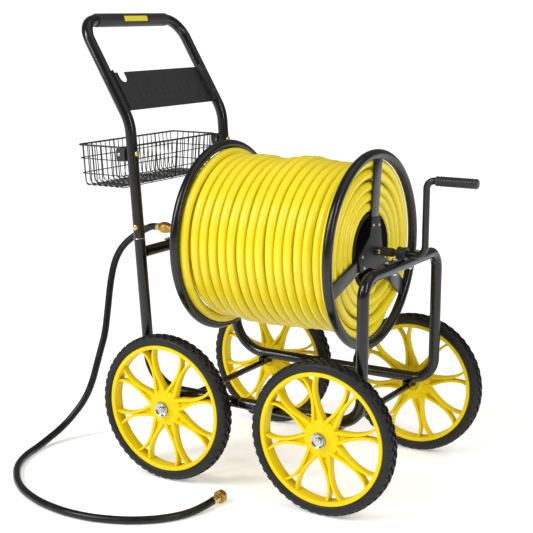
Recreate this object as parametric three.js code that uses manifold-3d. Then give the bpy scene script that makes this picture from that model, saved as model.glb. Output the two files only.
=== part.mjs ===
// Garden hose reel cart: a bent-tube frame on four spoked wheels, a crank-turned hose reel on two
// bearings, a wire basket, a tool panel and a leader hose that lies on the ground.
// Millimetres, +Z up, +X towards the crank, left is -Y. The origin is on the ground, under the
// middle of the cart's box.
import * as THREE from 'three';
import { mergeVertices } from 'three/addons/utils/BufferGeometryUtils.js';
import Module from 'manifold-3d';

const wasm = await Module();
wasm.setup();

// Driving dimensions.
const GAP = 0.3;
const AXLE_MID_X = 20;
const WHEELBASE = 424;
const TRACK = 495;
const WHEEL_R = 178;
const TYRE_HALF_WIDTH = 19.5;
const RIM_R = 154;
const RIM_HALF_WIDTH = 16;
const RIM_WALL = 8;
const WHEEL_SEGMENTS = 32;
const SPOKE_COUNT = 8;
const HUB_R = 23;
const HUB_HALF_LENGTH = 19;
const AXLE_R = 6;
const AXLE_TUBE_R = 8;

const TUBE_R = 13.5;
const TUBE_WALL = 2;
const FRAME_HALF_Y = 199;
const RAIL_Z = 205;
const RAIL_SEAM_X = -11;
const HOOP_X = 302;
const POST_BASE_X = -270.7;
const POST_LEAN = -0.0755;
const POST_SEAM_Z = 570;
const HANDLE_BEND_Z = 846;
const HANDLE_TOP_Z = 1082;
const ARM_LEAN = -0.5975;

const REEL_Z = 560;
const FLANGE_FRONT_X = 225;
const FLANGE_REAR_X = -179;
const FLANGE_R = 223.7;
const FLANGE_TUBE_R = 11.5;
const BAR_ANGLES = [84, 198, 324].map(THREE.MathUtils.degToRad);
const FLAT_BAR_WIDTH = 38;
const FLAT_BAR_THICK = 4;
const PLATE_THICK = 3;
const DRUM_R = 88;
const HOSE_PITCH = 23.6;
const HOSE_LAYERS = 5;

const SHAFT_R = 8;
const BUSH_R = 9.8;
const BEARING_HALF_LENGTH = 11;
const BEARING_FOOT = 92;
const CRANK_ARM_X = 357.5;
const CRANK_GRIP_Z = 733;
const GRIP_X0 = 380;
const GRIP_X1 = 480;
const GRIP_R = 11.5;

const BASKET_TOP_Z = 788;
const BASKET_BOTTOM_Z = 684;
const BASKET_REAR_X = -480;
const BASKET_FRONT_X = -340;
const BASKET_HALF_Y = 203;
const BASKET_WALL = 3;

const PANEL_MID_Z = 918;
const PANEL_HEIGHT = 102;
const PANEL_HALF_WIDTH = 185;
const PANEL_THICK = 2;
const PANEL_SET_BACK = 6;
const PANEL_LIP = 12;
const SLOT_Y = -136;
const SLOT_WIDTH = 26;
const SLOT_DEPTH = 27;

const BOLT_SHANK_R = 3;
const BOLT_HOLE_R = 3.5;
const BOLT_SIDES = 6;

const LEADER_R = 9;
const NUT_APOTHEM = 14;

// What follows from them.
const BEARING_DROP = BUSH_R + GAP + 1;
const HOOP_Z = REEL_Z - BEARING_DROP - GAP - TUBE_R;
const DRUM_END_GAP = FLAT_BAR_THICK / 2 + GAP;
const WINDING_X0 = FLANGE_REAR_X + FLAT_BAR_THICK / 2 + 2 * GAP;
const WINDING_X1 = FLANGE_FRONT_X - FLAT_BAR_THICK / 2 - 2 * GAP;
const WINDING_R0 = DRUM_R + 1.5;
const WINDING_R1 = WINDING_R0 + HOSE_LAYERS * HOSE_PITCH;
const postX = (z) => POST_BASE_X + POST_LEAN * (z - RAIL_Z);
const armX = (z) => postX(HANDLE_BEND_Z) + ARM_LEAN * (z - HANDLE_BEND_Z);
const REAR_BAR_X = postX(HOOP_Z);

const cart = new THREE.Group();

const MATERIALS = {
  blackTube: [0x1b1b1c, 0.42, 0.35],
  sheetSteel: [0x2b2c2e, 0.5, 0.35],
  foam: [0x161616, 0.85, 0],
  wire: [0x161617, 0.45, 0.4],
  nylon: [0x202020, 0.6, 0],
  steel: [0xb9bcc0, 0.3, 0.9],
  zinc: [0xd8dadd, 0.22, 1],
  brass: [0xb98a3e, 0.3, 1],
  yellowPlastic: [0xf3d800, 0.4, 0],
  tyre: [0x161617, 0.8, 0],
  yellowHose: [0xf2dc1c, 0.4, 0],
  blackHose: [0x17181a, 0.45, 0],
};

function addPiece(parent, name, geometry, finish) {
  const [color, roughness, metalness] = MATERIALS[finish];
  const material = new THREE.MeshStandardMaterial({ color, roughness, metalness });
  const mesh = new THREE.Mesh(geometry, material);
  mesh.name = name;
  parent.add(mesh);
  return mesh;
}

// A closed three.js geometry as a Manifold solid, and back.
function solid(geometry) {
  const bare = geometry.clone();
  bare.deleteAttribute('normal');
  bare.deleteAttribute('uv');
  const merged = mergeVertices(bare, 1e-4);
  const vertProperties = new Float32Array(merged.attributes.position.array);
  const triVerts = new Uint32Array(merged.index.array);
  return new wasm.Manifold(new wasm.Mesh({ numProp: 3, vertProperties, triVerts }));
}

function fromSolid(manifold) {
  const mesh = manifold.getMesh();
  const geometry = new THREE.BufferGeometry();
  geometry.setAttribute('position', new THREE.BufferAttribute(mesh.vertProperties, 3));
  geometry.setIndex(new THREE.BufferAttribute(mesh.triVerts, 1));
  return geometry;
}

function join(geometries) {
  return fromSolid(geometries.map(solid).reduce((whole, next) => whole.add(next)));
}

function cut(geometry, tools) {
  return fromSolid(tools.map(solid).reduce((whole, tool) => whole.subtract(tool), solid(geometry)));
}

function box(x0, x1, y0, y1, z0, z1) {
  const geometry = new THREE.BoxGeometry(x1 - x0, y1 - y0, z1 - z0);
  geometry.translate((x0 + x1) / 2, (y0 + y1) / 2, (z0 + z1) / 2);
  return geometry;
}

// A revolved piece about the X or Y axis, from [radius, distance along the axis] points. The
// profile is closed on itself, or starts and ends on the axis.
function revolve(profile, segments, axis, phase = 0) {
  const points = profile.map(([r, along]) => new THREE.Vector2(r, along));
  const geometry = new THREE.LatheGeometry(points, segments, phase, 2 * Math.PI);
  if (axis === 'x') {
    geometry.rotateZ(-Math.PI / 2);
  }
  return geometry;
}

function ringProfile(inner, outer, from, to) {
  return [[inner, from], [outer, from], [outer, to], [inner, to], [inner, from]];
}

function rodProfile(radius, from, to) {
  return [[0, from], [radius, from], [radius, to], [0, to]];
}

function rod(radius, from, to, segments, axis) {
  return revolve(rodProfile(radius, from, to), segments, axis);
}

// A vertical rod, for bolt holes.
function verticalRod(radius, z0, z1, segments) {
  const geometry = rod(radius, z0, z1, segments, 'y');
  geometry.rotateX(Math.PI / 2);
  return geometry;
}

// A centreline whose stations lie only at its ends and round its bends.
class BentRoute extends THREE.Curve {
  constructor(corners, radii, stepDegrees = 18) {
    super();
    this.stations = bendStations(corners, radii, THREE.MathUtils.degToRad(stepDegrees));
  }

  getPoint(t) {
    const last = this.stations.length - 1;
    const index = Math.min(Math.floor(t * last + 1e-9), last - 1);
    return this.stations[index].clone().lerp(this.stations[index + 1], t * last - index);
  }

  getPointAt(u) {
    return this.getPoint(u);
  }

  getTangent(t) {
    const last = this.stations.length - 1;
    const index = Math.round(t * last);
    const direction = new THREE.Vector3();
    if (index > 0) {
      direction.add(this.stations[index].clone().sub(this.stations[index - 1]).normalize());
    }
    if (index < last) {
      direction.add(this.stations[index + 1].clone().sub(this.stations[index]).normalize());
    }
    return direction.normalize();
  }

  getTangentAt(u) {
    return this.getTangent(u);
  }
}

function bendStations(corners, radii, step) {
  const stations = [corners[0]];
  for (let i = 1; i < corners.length - 1; i += 1) {
    const before = corners[i - 1].clone().sub(corners[i]).normalize();
    const after = corners[i + 1].clone().sub(corners[i]).normalize();
    const turn = Math.PI - before.angleTo(after);
    const reach = radii[i - 1] * Math.tan(turn / 2);
    const middle = before.clone().add(after).normalize();
    const centre = corners[i].clone().addScaledVector(middle, radii[i - 1] / Math.cos(turn / 2));
    const start = corners[i].clone().addScaledVector(before, reach).sub(centre);
    const axis = before.clone().negate().cross(after).normalize();
    const steps = Math.max(2, Math.ceil(turn / step));
    for (let k = 0; k <= steps; k += 1) {
      stations.push(start.clone().applyAxisAngle(axis, (turn * k) / steps).add(centre));
    }
  }
  stations.push(corners[corners.length - 1]);
  return stations;
}

function roundSection(outer, inner, sides) {
  const section = new THREE.Shape(ringPoints(outer, sides));
  if (inner > 0) {
    section.holes.push(new THREE.Path(ringPoints(inner, sides)));
  }
  return section;
}

function ringPoints(radius, sides) {
  return Array.from({ length: sides }, (_, i) => {
    const angle = (2 * Math.PI * (i + 0.5)) / sides;
    return new THREE.Vector2(radius * Math.cos(angle), radius * Math.sin(angle));
  });
}

function bentTube(corners, radii, outer, inner, sides = 8) {
  const route = new BentRoute(corners, radii);
  return new THREE.ExtrudeGeometry(roundSection(outer, inner, sides), {
    steps: route.stations.length - 1,
    extrudePath: route,
    bevelEnabled: false,
  });
}

function vec(x, y, z) {
  return new THREE.Vector3(x, y, z);
}

const SIDES = { left: -1, right: 1 };
const ENDS = { front: 1, rear: -1 };
const axleX = (end) => AXLE_MID_X + (ENDS[end] * WHEELBASE) / 2;

// Frame: one front hoop with both front rails, two rear rail-and-post tubes and the handle tube.
const POST_BOLT_Z = 598;
const RAIL_BOLT_X = -39;
const BASKET_BOLT_Z = 772;
const BEARING_BOLT_Y = 42;

function crossHole(x, z, side) {
  const y = side * FRAME_HALF_Y;
  const hole = rod(BOLT_HOLE_R, y - 2 * TUBE_R, y + 2 * TUBE_R, 8, 'y');
  hole.translate(x, 0, z);
  return hole;
}

// Square to the leaning post.
function alongHole(y, z) {
  const hole = rod(BOLT_HOLE_R, -2 * TUBE_R, 2 * TUBE_R, 8, 'x');
  hole.rotateY(Math.atan(POST_LEAN));
  hole.translate(postX(z), y, z);
  return hole;
}

function bearingHoles(x) {
  return [-1, 1].map((side) => {
    const hole = verticalRod(BOLT_HOLE_R, -2 * TUBE_R, 2 * TUBE_R, 8);
    hole.translate(x, side * BEARING_BOLT_Y, HOOP_Z);
    return hole;
  });
}

function addFrame() {
  const y = FRAME_HALF_Y;
  const inner = TUBE_R - TUBE_WALL;
  const hoop = bentTube([
    vec(RAIL_SEAM_X, -y, RAIL_Z), vec(HOOP_X, -y, RAIL_Z), vec(HOOP_X, -y, HOOP_Z),
    vec(HOOP_X, y, HOOP_Z), vec(HOOP_X, y, RAIL_Z), vec(RAIL_SEAM_X, y, RAIL_Z),
  ], [58, 45, 45, 58], TUBE_R, inner);
  addPiece(cart, 'front_frame', cut(hoop, bearingHoles(HOOP_X)), 'blackTube');

  for (const [side, sign] of Object.entries(SIDES)) {
    const rear = bentTube([
      vec(RAIL_SEAM_X - GAP, sign * y, RAIL_Z), vec(POST_BASE_X, sign * y, RAIL_Z),
      vec(postX(POST_SEAM_Z), sign * y, POST_SEAM_Z),
    ], [90], TUBE_R, inner);
    const piece = cut(rear, [crossHole(RAIL_BOLT_X, RAIL_Z, sign)]);
    addPiece(cart, `rear_frame_${side}`, piece, 'blackTube');
  }

  const seamZ = POST_SEAM_Z + GAP;
  const handle = bentTube([
    vec(postX(seamZ), -y, seamZ), vec(postX(HANDLE_BEND_Z), -y, HANDLE_BEND_Z),
    vec(armX(HANDLE_TOP_Z), -y, HANDLE_TOP_Z), vec(armX(HANDLE_TOP_Z), y, HANDLE_TOP_Z),
    vec(postX(HANDLE_BEND_Z), y, HANDLE_BEND_Z), vec(postX(seamZ), y, seamZ),
  ], [110, 55, 55, 110], TUBE_R, inner);
  const holes = [-1, 1].flatMap((sign) => [
    crossHole(postX(POST_BOLT_Z), POST_BOLT_Z, sign),
    alongHole(sign * y, BASKET_BOLT_Z),
  ]);
  addPiece(cart, 'handle_tube', cut(handle, holes), 'blackTube');

  const barEnd = y - TUBE_R - GAP;
  const bar = revolve(ringProfile(inner, TUBE_R, -barEnd, barEnd), 8, 'y');
  bar.translate(REAR_BAR_X, 0, HOOP_Z);
  addPiece(cart, 'rear_cross_bar', cut(bar, bearingHoles(REAR_BAR_X)), 'blackTube');
}

// A long bolt with a domed head at +along and a nut at the other end, on one axis.
function boltProfile(from, to) {
  const head = 6.5;
  return [
    [0, from - 5], [5.5, from - 5], [5.5, from], [BOLT_SHANK_R, from], [BOLT_SHANK_R, to],
    [head, to], [head - 1.5, to + 4], [0, to + 4],
  ];
}

function addFasteners() {
  const reach = TUBE_R + GAP;
  for (const [side, sign] of Object.entries(SIDES)) {
    const outward = revolve(boltProfile(-reach, reach), BOLT_SIDES, 'y');
    if (sign < 0) {
      outward.rotateZ(Math.PI);
    }
    const post = addPiece(cart, `post_bolt_${side}`, outward, 'brass');
    post.position.set(postX(POST_BOLT_Z), sign * FRAME_HALF_Y, POST_BOLT_Z);
    const rail = addPiece(cart, `rail_bolt_${side}`, outward.clone(), 'zinc');
    rail.position.set(RAIL_BOLT_X, sign * FRAME_HALF_Y, RAIL_Z);
    const forward = revolve(boltProfile(-reach - PLATE_THICK - 2, reach), BOLT_SIDES, 'x');
    const basket = addPiece(cart, `basket_bolt_${side}`, forward, 'brass');
    basket.position.set(postX(BASKET_BOLT_Z), sign * FRAME_HALF_Y, BASKET_BOLT_Z);
    basket.rotation.y = Math.atan(POST_LEAN);
  }
}

// Foam sleeve on the handle's crossbar.
const FOAM_R = 16.5;
const FOAM_HALF_LENGTH = 143;

function addHandleGrip() {
  const edge = 3;
  const end = FOAM_HALF_LENGTH;
  const inner = TUBE_R + GAP;
  const sleeve = revolve([
    [inner, -end], [FOAM_R - edge / 2, -end], [FOAM_R, -end + edge], [FOAM_R, end - edge],
    [FOAM_R - edge / 2, end], [inner, end], [inner, -end],
  ], 16, 'y');
  addPiece(cart, 'handle_grip', sleeve, 'foam').position.set(armX(HANDLE_TOP_Z), 0, HANDLE_TOP_Z);
}

// Folded sheet panel between the handle's arms, its two flanges turned forwards along them, with
// a round-ended slot in its top edge.
function addToolPanel() {
  const half = PANEL_HALF_WIDTH;
  const web = half - PANEL_THICK;
  const back = -PANEL_SET_BACK;
  const section = new THREE.Shape([
    [-half, back], [half, back], [half, PANEL_LIP], [web, PANEL_LIP], [web, back + PANEL_THICK],
    [-web, back + PANEL_THICK], [-web, PANEL_LIP], [-half, PANEL_LIP],
  ].map(([x, y]) => new THREE.Vector2(x, y)));
  const sheet = new THREE.ExtrudeGeometry(section, { depth: PANEL_HEIGHT, bevelEnabled: false });
  const slot = new THREE.Shape();
  const radius = SLOT_WIDTH / 2;
  const top = PANEL_HEIGHT + 5;
  const foot = PANEL_HEIGHT - SLOT_DEPTH + radius;
  slot.moveTo(-SLOT_Y - radius, top);
  slot.lineTo(-SLOT_Y - radius, foot);
  slot.absarc(-SLOT_Y, foot, radius, Math.PI, 2 * Math.PI, false);
  slot.lineTo(-SLOT_Y + radius, top);
  const cutter = new THREE.ExtrudeGeometry(slot, {
    depth: 20, bevelEnabled: false, curveSegments: 8,
  });
  cutter.rotateX(Math.PI / 2);
  cutter.translate(0, 10, 0);
  const panel = cut(sheet, [cutter]);
  panel.translate(0, 0, -PANEL_HEIGHT / 2);
  panel.rotateZ(-Math.PI / 2);
  panel.rotateY(Math.atan(ARM_LEAN));
  addPiece(cart, 'tool_panel', panel, 'sheetSteel').position.set(armX(PANEL_MID_Z), 0, PANEL_MID_Z);
}

// Basket: the true outer shape of the welded wire tray, open at the top.
function taperedBox(shrink, bottomZ, topZ) {
  const x0 = BASKET_REAR_X + shrink;
  const x1 = BASKET_FRONT_X - shrink;
  const y1 = BASKET_HALF_Y - shrink;
  const geometry = box(x0, x1, -y1, y1, bottomZ, topZ);
  const position = geometry.attributes.position;
  const taper = 8;
  const midX = (x0 + x1) / 2;
  for (let i = 0; i < position.count; i += 1) {
    if (position.getZ(i) < (bottomZ + topZ) / 2) {
      position.setX(i, position.getX(i) - Math.sign(position.getX(i) - midX) * taper);
      position.setY(i, position.getY(i) - Math.sign(position.getY(i)) * taper);
    }
  }
  return geometry;
}

function addBasket() {
  const hollow = taperedBox(BASKET_WALL, BASKET_BOTTOM_Z + BASKET_WALL, BASKET_TOP_Z + 1);
  const tray = cut(taperedBox(0, BASKET_BOTTOM_Z, BASKET_TOP_Z), [hollow]);
  addPiece(cart, 'wire_basket', tray, 'wire');
  for (const [side, sign] of Object.entries(SIDES)) {
    addPiece(cart, `basket_bracket_${side}`, basketBracket(sign), 'sheetSteel');
  }
}

function inOrder(a, b) {
  return [Math.min(a, b), Math.max(a, b)];
}

// An angle bracket: one leg behind the post, under the bolt, the other along the basket's side.
function basketBracket(sign) {
  const low = BASKET_BOLT_Z - 18;
  const high = BASKET_BOLT_Z + 14;
  const face = postX(high) - TUBE_R - GAP;
  const outerY = sign * (BASKET_HALF_Y + 2 + PLATE_THICK);
  const innerY = outerY - sign * PLATE_THICK;
  const legs = [
    box(face - PLATE_THICK, face, ...inOrder(sign * (FRAME_HALF_Y - 9), outerY), low, high),
    box(BASKET_FRONT_X - 16, face, ...inOrder(innerY, outerY), low, high),
  ];
  return cut(join(legs), [alongHole(sign * FRAME_HALF_Y, BASKET_BOLT_Z)]);
}

// Bearings: a strapped block with a nylon bush on the hoop and another on the rear cross bar.
function bearingBlock() {
  const top = SHAFT_R + 6.5;
  const length = BEARING_HALF_LENGTH;
  const body = new THREE.Shape();
  body.moveTo(-top, -BEARING_DROP);
  body.lineTo(top, -BEARING_DROP);
  body.absarc(0, 0, top, 0, Math.PI, false);
  const arch = new THREE.ExtrudeGeometry(body, {
    depth: 2 * length, bevelEnabled: false, curveSegments: 8,
  });
  arch.rotateX(Math.PI / 2);
  arch.rotateZ(Math.PI / 2);
  arch.translate(-length, 0, 0);
  const width = length * 0.7;
  const underside = -BEARING_DROP;
  const base = box(
    -width, width, -BEARING_FOOT, BEARING_FOOT, underside, underside + PLATE_THICK);
  const bore = rod(BUSH_R + GAP, -length - 1, length + 1, 16, 'x');
  const holes = [-1, 1].map((side) => {
    const hole = verticalRod(BOLT_HOLE_R, -2 * top, 2 * top, 8);
    hole.translate(0, side * BEARING_BOLT_Y, 0);
    return hole;
  });
  return cut(join([arch, base]), [bore, ...holes]);
}

function addBearings() {
  const seats = { front: HOOP_X, rear: REAR_BAR_X };
  for (const [end, x] of Object.entries(seats)) {
    const block = addPiece(cart, `${end}_bearing_block`, bearingBlock(), 'sheetSteel');
    block.position.set(x, 0, REEL_Z);
    const length = BEARING_HALF_LENGTH;
    const sleeve = revolve(ringProfile(SHAFT_R + GAP, BUSH_R, -length, length), 16, 'x');
    addPiece(cart, `${end}_bearing_bush`, sleeve, 'nylon').position.set(x, 0, REEL_Z);
    const seat = REEL_Z - BEARING_DROP + PLATE_THICK + GAP;
    for (const [side, sign] of Object.entries(SIDES)) {
      const bolt = revolve(boltProfile(HOOP_Z - TUBE_R - GAP, seat), BOLT_SIDES, 'y');
      bolt.rotateX(Math.PI / 2);
      const piece = addPiece(cart, `${end}_bearing_bolt_${side}`, bolt, 'zinc');
      piece.position.set(x, sign * BEARING_BOLT_Y, 0);
    }
  }
}

// Wheels: each axle is a rod in a tube welded under the rails, with a nut and washer at each end.
function addAxles() {
  const tubeEnd = TRACK / 2 - HUB_HALF_LENGTH - 0.5;
  const rodEnd = TRACK / 2 + HUB_HALF_LENGTH + 6;
  const saddleTop = RAIL_Z - TUBE_R - GAP - WHEEL_R;
  for (const end of Object.keys(ENDS)) {
    const x = axleX(end);
    const tube = rod(AXLE_TUBE_R, -tubeEnd, tubeEnd, 12, 'y');
    const saddles = [-1, 1].map((sign) => {
      const y = sign * FRAME_HALF_Y;
      return box(-10, 10, y - 9, y + 9, 0, saddleTop);
    });
    const bore = rod(AXLE_R + 0.6, -tubeEnd - 1, tubeEnd + 1, 12, 'y');
    const axleTube = cut(join([tube, ...saddles]), [bore]);
    addPiece(cart, `${end}_axle_tube`, axleTube, 'blackTube').position.set(x, 0, WHEEL_R);
    const axle = rod(AXLE_R, -rodEnd, rodEnd, 12, 'y');
    addPiece(cart, `${end}_axle`, axle, 'steel').position.set(x, 0, WHEEL_R);
    for (const [side, sign] of Object.entries(SIDES)) {
      addHubNut(`hub_nut_${end}_${side}`, x, sign);
    }
  }
}

function addHubNut(name, x, sign) {
  const inner = AXLE_R + 0.5;
  const washer = 2.5;
  const nut = revolve([
    [inner, 0], [14, 0], [14, washer], [9.5, washer], [9.5, washer + 4],
    [inner, washer + 4], [inner, 0],
  ], 10, 'y');
  if (sign < 0) {
    nut.rotateZ(Math.PI);
  }
  const start = TRACK / 2 + HUB_HALF_LENGTH + GAP;
  addPiece(cart, name, nut, 'zinc').position.set(x, sign * start, WHEEL_R);
}

// A flat spoke that splays at the hub and widens where it meets the rim.
function spokeOutline() {
  const hubEnd = HUB_R - 3;
  const rimEnd = RIM_R - RIM_WALL / 2;
  const spoke = new THREE.Shape();
  spoke.moveTo(hubEnd, -9);
  spoke.lineTo(60, -5.5);
  spoke.lineTo(105, -6.5);
  spoke.quadraticCurveTo(128, -8, rimEnd, -26);
  spoke.lineTo(rimEnd, 26);
  spoke.quadraticCurveTo(128, 8, 105, 6.5);
  spoke.lineTo(60, 5.5);
  spoke.lineTo(hubEnd, 9);
  return spoke;
}

function wheelRim() {
  const phase = Math.PI / WHEEL_SEGMENTS;
  const barrel = ringProfile(RIM_R - RIM_WALL, RIM_R, -RIM_HALF_WIDTH, RIM_HALF_WIDTH);
  const parts = [revolve(barrel, WHEEL_SEGMENTS, 'y', phase)];
  parts.push(rod(HUB_R, -HUB_HALF_LENGTH, HUB_HALF_LENGTH, 12, 'y'));
  const depth = 14;
  for (let k = 0; k < SPOKE_COUNT; k += 1) {
    const options = { depth, bevelEnabled: false, curveSegments: 2 };
    const spoke = new THREE.ExtrudeGeometry(spokeOutline(), options);
    spoke.translate(0, 0, -depth / 2);
    spoke.rotateX(Math.PI / 2);
    spoke.rotateY((2 * Math.PI * (k + 0.5)) / SPOKE_COUNT);
    parts.push(spoke);
  }
  const bore = rod(AXLE_R + 3.1, -HUB_HALF_LENGTH - 1, HUB_HALF_LENGTH + 1, 12, 'y');
  return cut(join(parts), [bore]);
}

function tyreGeometry() {
  const flatten = 1 / Math.cos(Math.PI / WHEEL_SEGMENTS);
  const half = TYRE_HALF_WIDTH;
  const inner = RIM_R + GAP;
  const profile = [
    [inner, -half + 2], [WHEEL_R - 8, -half], [WHEEL_R, -half / 2],
    [WHEEL_R, half / 2], [WHEEL_R - 8, half], [inner, half - 2], [inner, -half + 2],
  ];
  const rolled = profile.map(([r, along]) => [r > inner ? r * flatten : r, along]);
  return revolve(rolled, WHEEL_SEGMENTS, 'y', Math.PI / WHEEL_SEGMENTS);
}

function addWheels() {
  const rim = wheelRim();
  const tyre = tyreGeometry();
  const bush = revolve(
    ringProfile(AXLE_R + 0.5, AXLE_R + 2.7, -HUB_HALF_LENGTH, HUB_HALF_LENGTH), 12, 'y');
  for (const end of Object.keys(ENDS)) {
    for (const [side, sign] of Object.entries(SIDES)) {
      const wheel = new THREE.Group();
      wheel.position.set(axleX(end), (sign * TRACK) / 2, WHEEL_R);
      cart.add(wheel);
      addPiece(wheel, `wheel_rim_${end}_${side}`, rim.clone(), 'yellowPlastic');
      addPiece(wheel, `wheel_tyre_${end}_${side}`, tyre.clone(), 'tyre');
      addPiece(wheel, `wheel_bush_${end}_${side}`, bush.clone(), 'nylon');
    }
  }
}

// Reel: two ring-and-spoke flanges, hub plates, a drum and the winding, all about the X axis.
function flangeGeometry() {
  const points = ringPoints(FLANGE_TUBE_R, 8).map((p) => [FLANGE_R + p.x, p.y]);
  const ring = revolve([...points, points[0]], 32, 'x');
  const half = FLAT_BAR_THICK / 2;
  const width = FLAT_BAR_WIDTH / 2;
  const bars = [];
  for (const angle of BAR_ANGLES) {
    const bar = box(-half, half, -width, width, 46, FLANGE_R - FLANGE_TUBE_R / 2);
    bar.rotateX(angle - Math.PI / 2);
    bars.push(bar);
  }
  return join([ring, ...bars]);
}

// Three lobes, one over each flat bar, round a collar that takes the shaft.
function hubPlate(angles, boreR, collarR, collarLength) {
  const reach = 78;
  const half = FLAT_BAR_WIDTH / 2;
  const corners = [];
  for (const angle of angles) {
    for (const [r, t] of [[reach, -half], [reach, half], [34, half + 8]]) {
      const y = r * Math.cos(angle) - t * Math.sin(angle);
      const z = r * Math.sin(angle) + t * Math.cos(angle);
      corners.push(new THREE.Vector2(y, z));
    }
  }
  const outline = new THREE.Shape(corners);
  const plate = new THREE.ExtrudeGeometry(outline, { depth: PLATE_THICK, bevelEnabled: false });
  plate.rotateY(Math.PI / 2);
  plate.rotateX(Math.PI / 2);
  const collar = rod(collarR, 0, collarLength, 16, 'x');
  const bore = rod(boreR, -1, collarLength + 1, 16, 'x');
  return cut(join([plate, collar]), [bore]);
}

function addReel() {
  const reel = new THREE.Group();
  reel.position.z = REEL_Z;
  cart.add(reel);
  const flange = flangeGeometry();
  addPiece(reel, 'reel_flange_front', flange, 'blackTube').position.x = FLANGE_FRONT_X;
  addPiece(reel, 'reel_flange_rear', flange.clone(), 'blackTube').position.x = FLANGE_REAR_X;

  const plateFace = FLAT_BAR_THICK / 2 + GAP;
  const front = hubPlate(BAR_ANGLES, SHAFT_R + GAP, SHAFT_R + 2.4, 52);
  addPiece(reel, 'hub_plate_front', front, 'sheetSteel').position.x = FLANGE_FRONT_X + plateFace;
  addPiece(reel, 'hub_plate_rear', rearHub(), 'sheetSteel').position.x = FLANGE_REAR_X - plateFace;

  const drumX0 = FLANGE_REAR_X + DRUM_END_GAP;
  const drumX1 = FLANGE_FRONT_X - DRUM_END_GAP;
  const drum = revolve(ringProfile(DRUM_R - 1.5, DRUM_R, drumX0, drumX1), 24, 'x');
  addPiece(reel, 'reel_drum', drum, 'sheetSteel');
  addPiece(reel, 'wound_hose', windingGeometry(), 'yellowHose');
  addHoseEnd(reel);
  addWaterPipe(reel);
  addCrank(reel);
}

// The rear hub carries a hollow spindle that runs through its bearing into the inlet swivel.
function rearHub() {
  const spindleLength = 163;
  const mirrored = BAR_ANGLES.map((angle) => Math.PI - angle).reverse();
  const plate = hubPlate(mirrored, 5, SHAFT_R, spindleLength);
  plate.rotateZ(Math.PI);
  return plate;
}

function windingGeometry() {
  const edge = HOSE_PITCH / 3;
  const rim = FLANGE_R - FLANGE_TUBE_R - 1.2;
  const grooveX0 = WINDING_X0 + HOSE_PITCH;
  const grooveX1 = grooveX0 + HOSE_PITCH * 1.2;
  const low = WINDING_R1 - HOSE_PITCH;
  return revolve([
    [WINDING_R0, WINDING_X0], [rim - edge, WINDING_X0], [rim, WINDING_X0 + edge], [rim, grooveX0],
    [low, grooveX0], [low, grooveX1], [WINDING_R1, grooveX1], [WINDING_R1, WINDING_X1 - HOSE_PITCH],
    [rim, WINDING_X1 - HOSE_PITCH], [rim, WINDING_X1 - edge], [rim - edge, WINDING_X1],
    [WINDING_R0, WINDING_X1], [WINDING_R0, WINDING_X0],
  ], 36, 'x');
}

// The wound hose's free end: a brass coupling that lies in a groove beside the last turn.
const HOSE_END_ANGLE = THREE.MathUtils.degToRad(-30);

function addHoseEnd(reel) {
  const radius = 12.5;
  const half = 24;
  const centreR = WINDING_R1 - HOSE_PITCH + radius + 2;
  const coupling = revolve([
    [0, -half], [10, -half], [10, 6], [radius, 8], [radius, half], [0, half],
  ], 12, 'y');
  const piece = addPiece(reel, 'wound_hose_coupling', coupling, 'brass');
  const y = centreR * Math.cos(HOSE_END_ANGLE);
  const z = centreR * Math.sin(HOSE_END_ANGLE);
  piece.position.set(WINDING_X0 + HOSE_PITCH * 1.6, y, z);
  piece.rotation.x = HOSE_END_ANGLE + Math.PI / 2;
}

// Elbow inside the drum, from the spindle's bore to the drum wall.
function addWaterPipe(reel) {
  const startX = FLANGE_REAR_X + DRUM_END_GAP + 2;
  const pipe = bentTube(
    [vec(startX, 0, 0), vec(startX + 60, 0, 0), vec(startX + 60, 0, -DRUM_R + 4)], [24], 8, 5.5, 6);
  addPiece(reel, 'drum_water_pipe', pipe, 'steel');
}

function addCrank(reel) {
  const startX = FLANGE_FRONT_X + FLAT_BAR_THICK / 2 + GAP;
  const throwZ = CRANK_GRIP_Z - REEL_Z;
  const spindleR = 5;
  const shoulderX = GRIP_X0 - 3;
  const arm = bentTube([
    vec(startX, 0, 0), vec(CRANK_ARM_X, 0, 0), vec(CRANK_ARM_X, 0, throwZ),
    vec(shoulderX, 0, throwZ),
  ], [22, 19], SHAFT_R, 0);
  const spindle = rod(spindleR, shoulderX - 5, GRIP_X1 - 6, 10, 'x');
  spindle.translate(0, 0, throwZ);
  addPiece(reel, 'crank_rod', join([arm, spindle]), 'blackTube');
}

function addCrankGrip() {
  const bore = 5.6;
  const ribs = 2;
  const profile = [[bore, GRIP_X0], [GRIP_R - 2, GRIP_X0], [GRIP_R, GRIP_X0 + 3]];
  for (let k = 1; k <= ribs; k += 1) {
    const x = GRIP_X0 + ((GRIP_X1 - GRIP_X0) * k) / (ribs + 1);
    profile.push([GRIP_R, x - 3], [GRIP_R - 1, x], [GRIP_R, x + 3]);
  }
  profile.push([GRIP_R, GRIP_X1 - 3], [GRIP_R - 3, GRIP_X1], [0, GRIP_X1]);
  profile.push([0, GRIP_X1 - 4], [bore, GRIP_X1 - 4], [bore, GRIP_X0]);
  const grip = revolve(profile, 12, 'x');
  addPiece(cart, 'crank_grip', grip, 'foam').position.z = CRANK_GRIP_Z;
}

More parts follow.
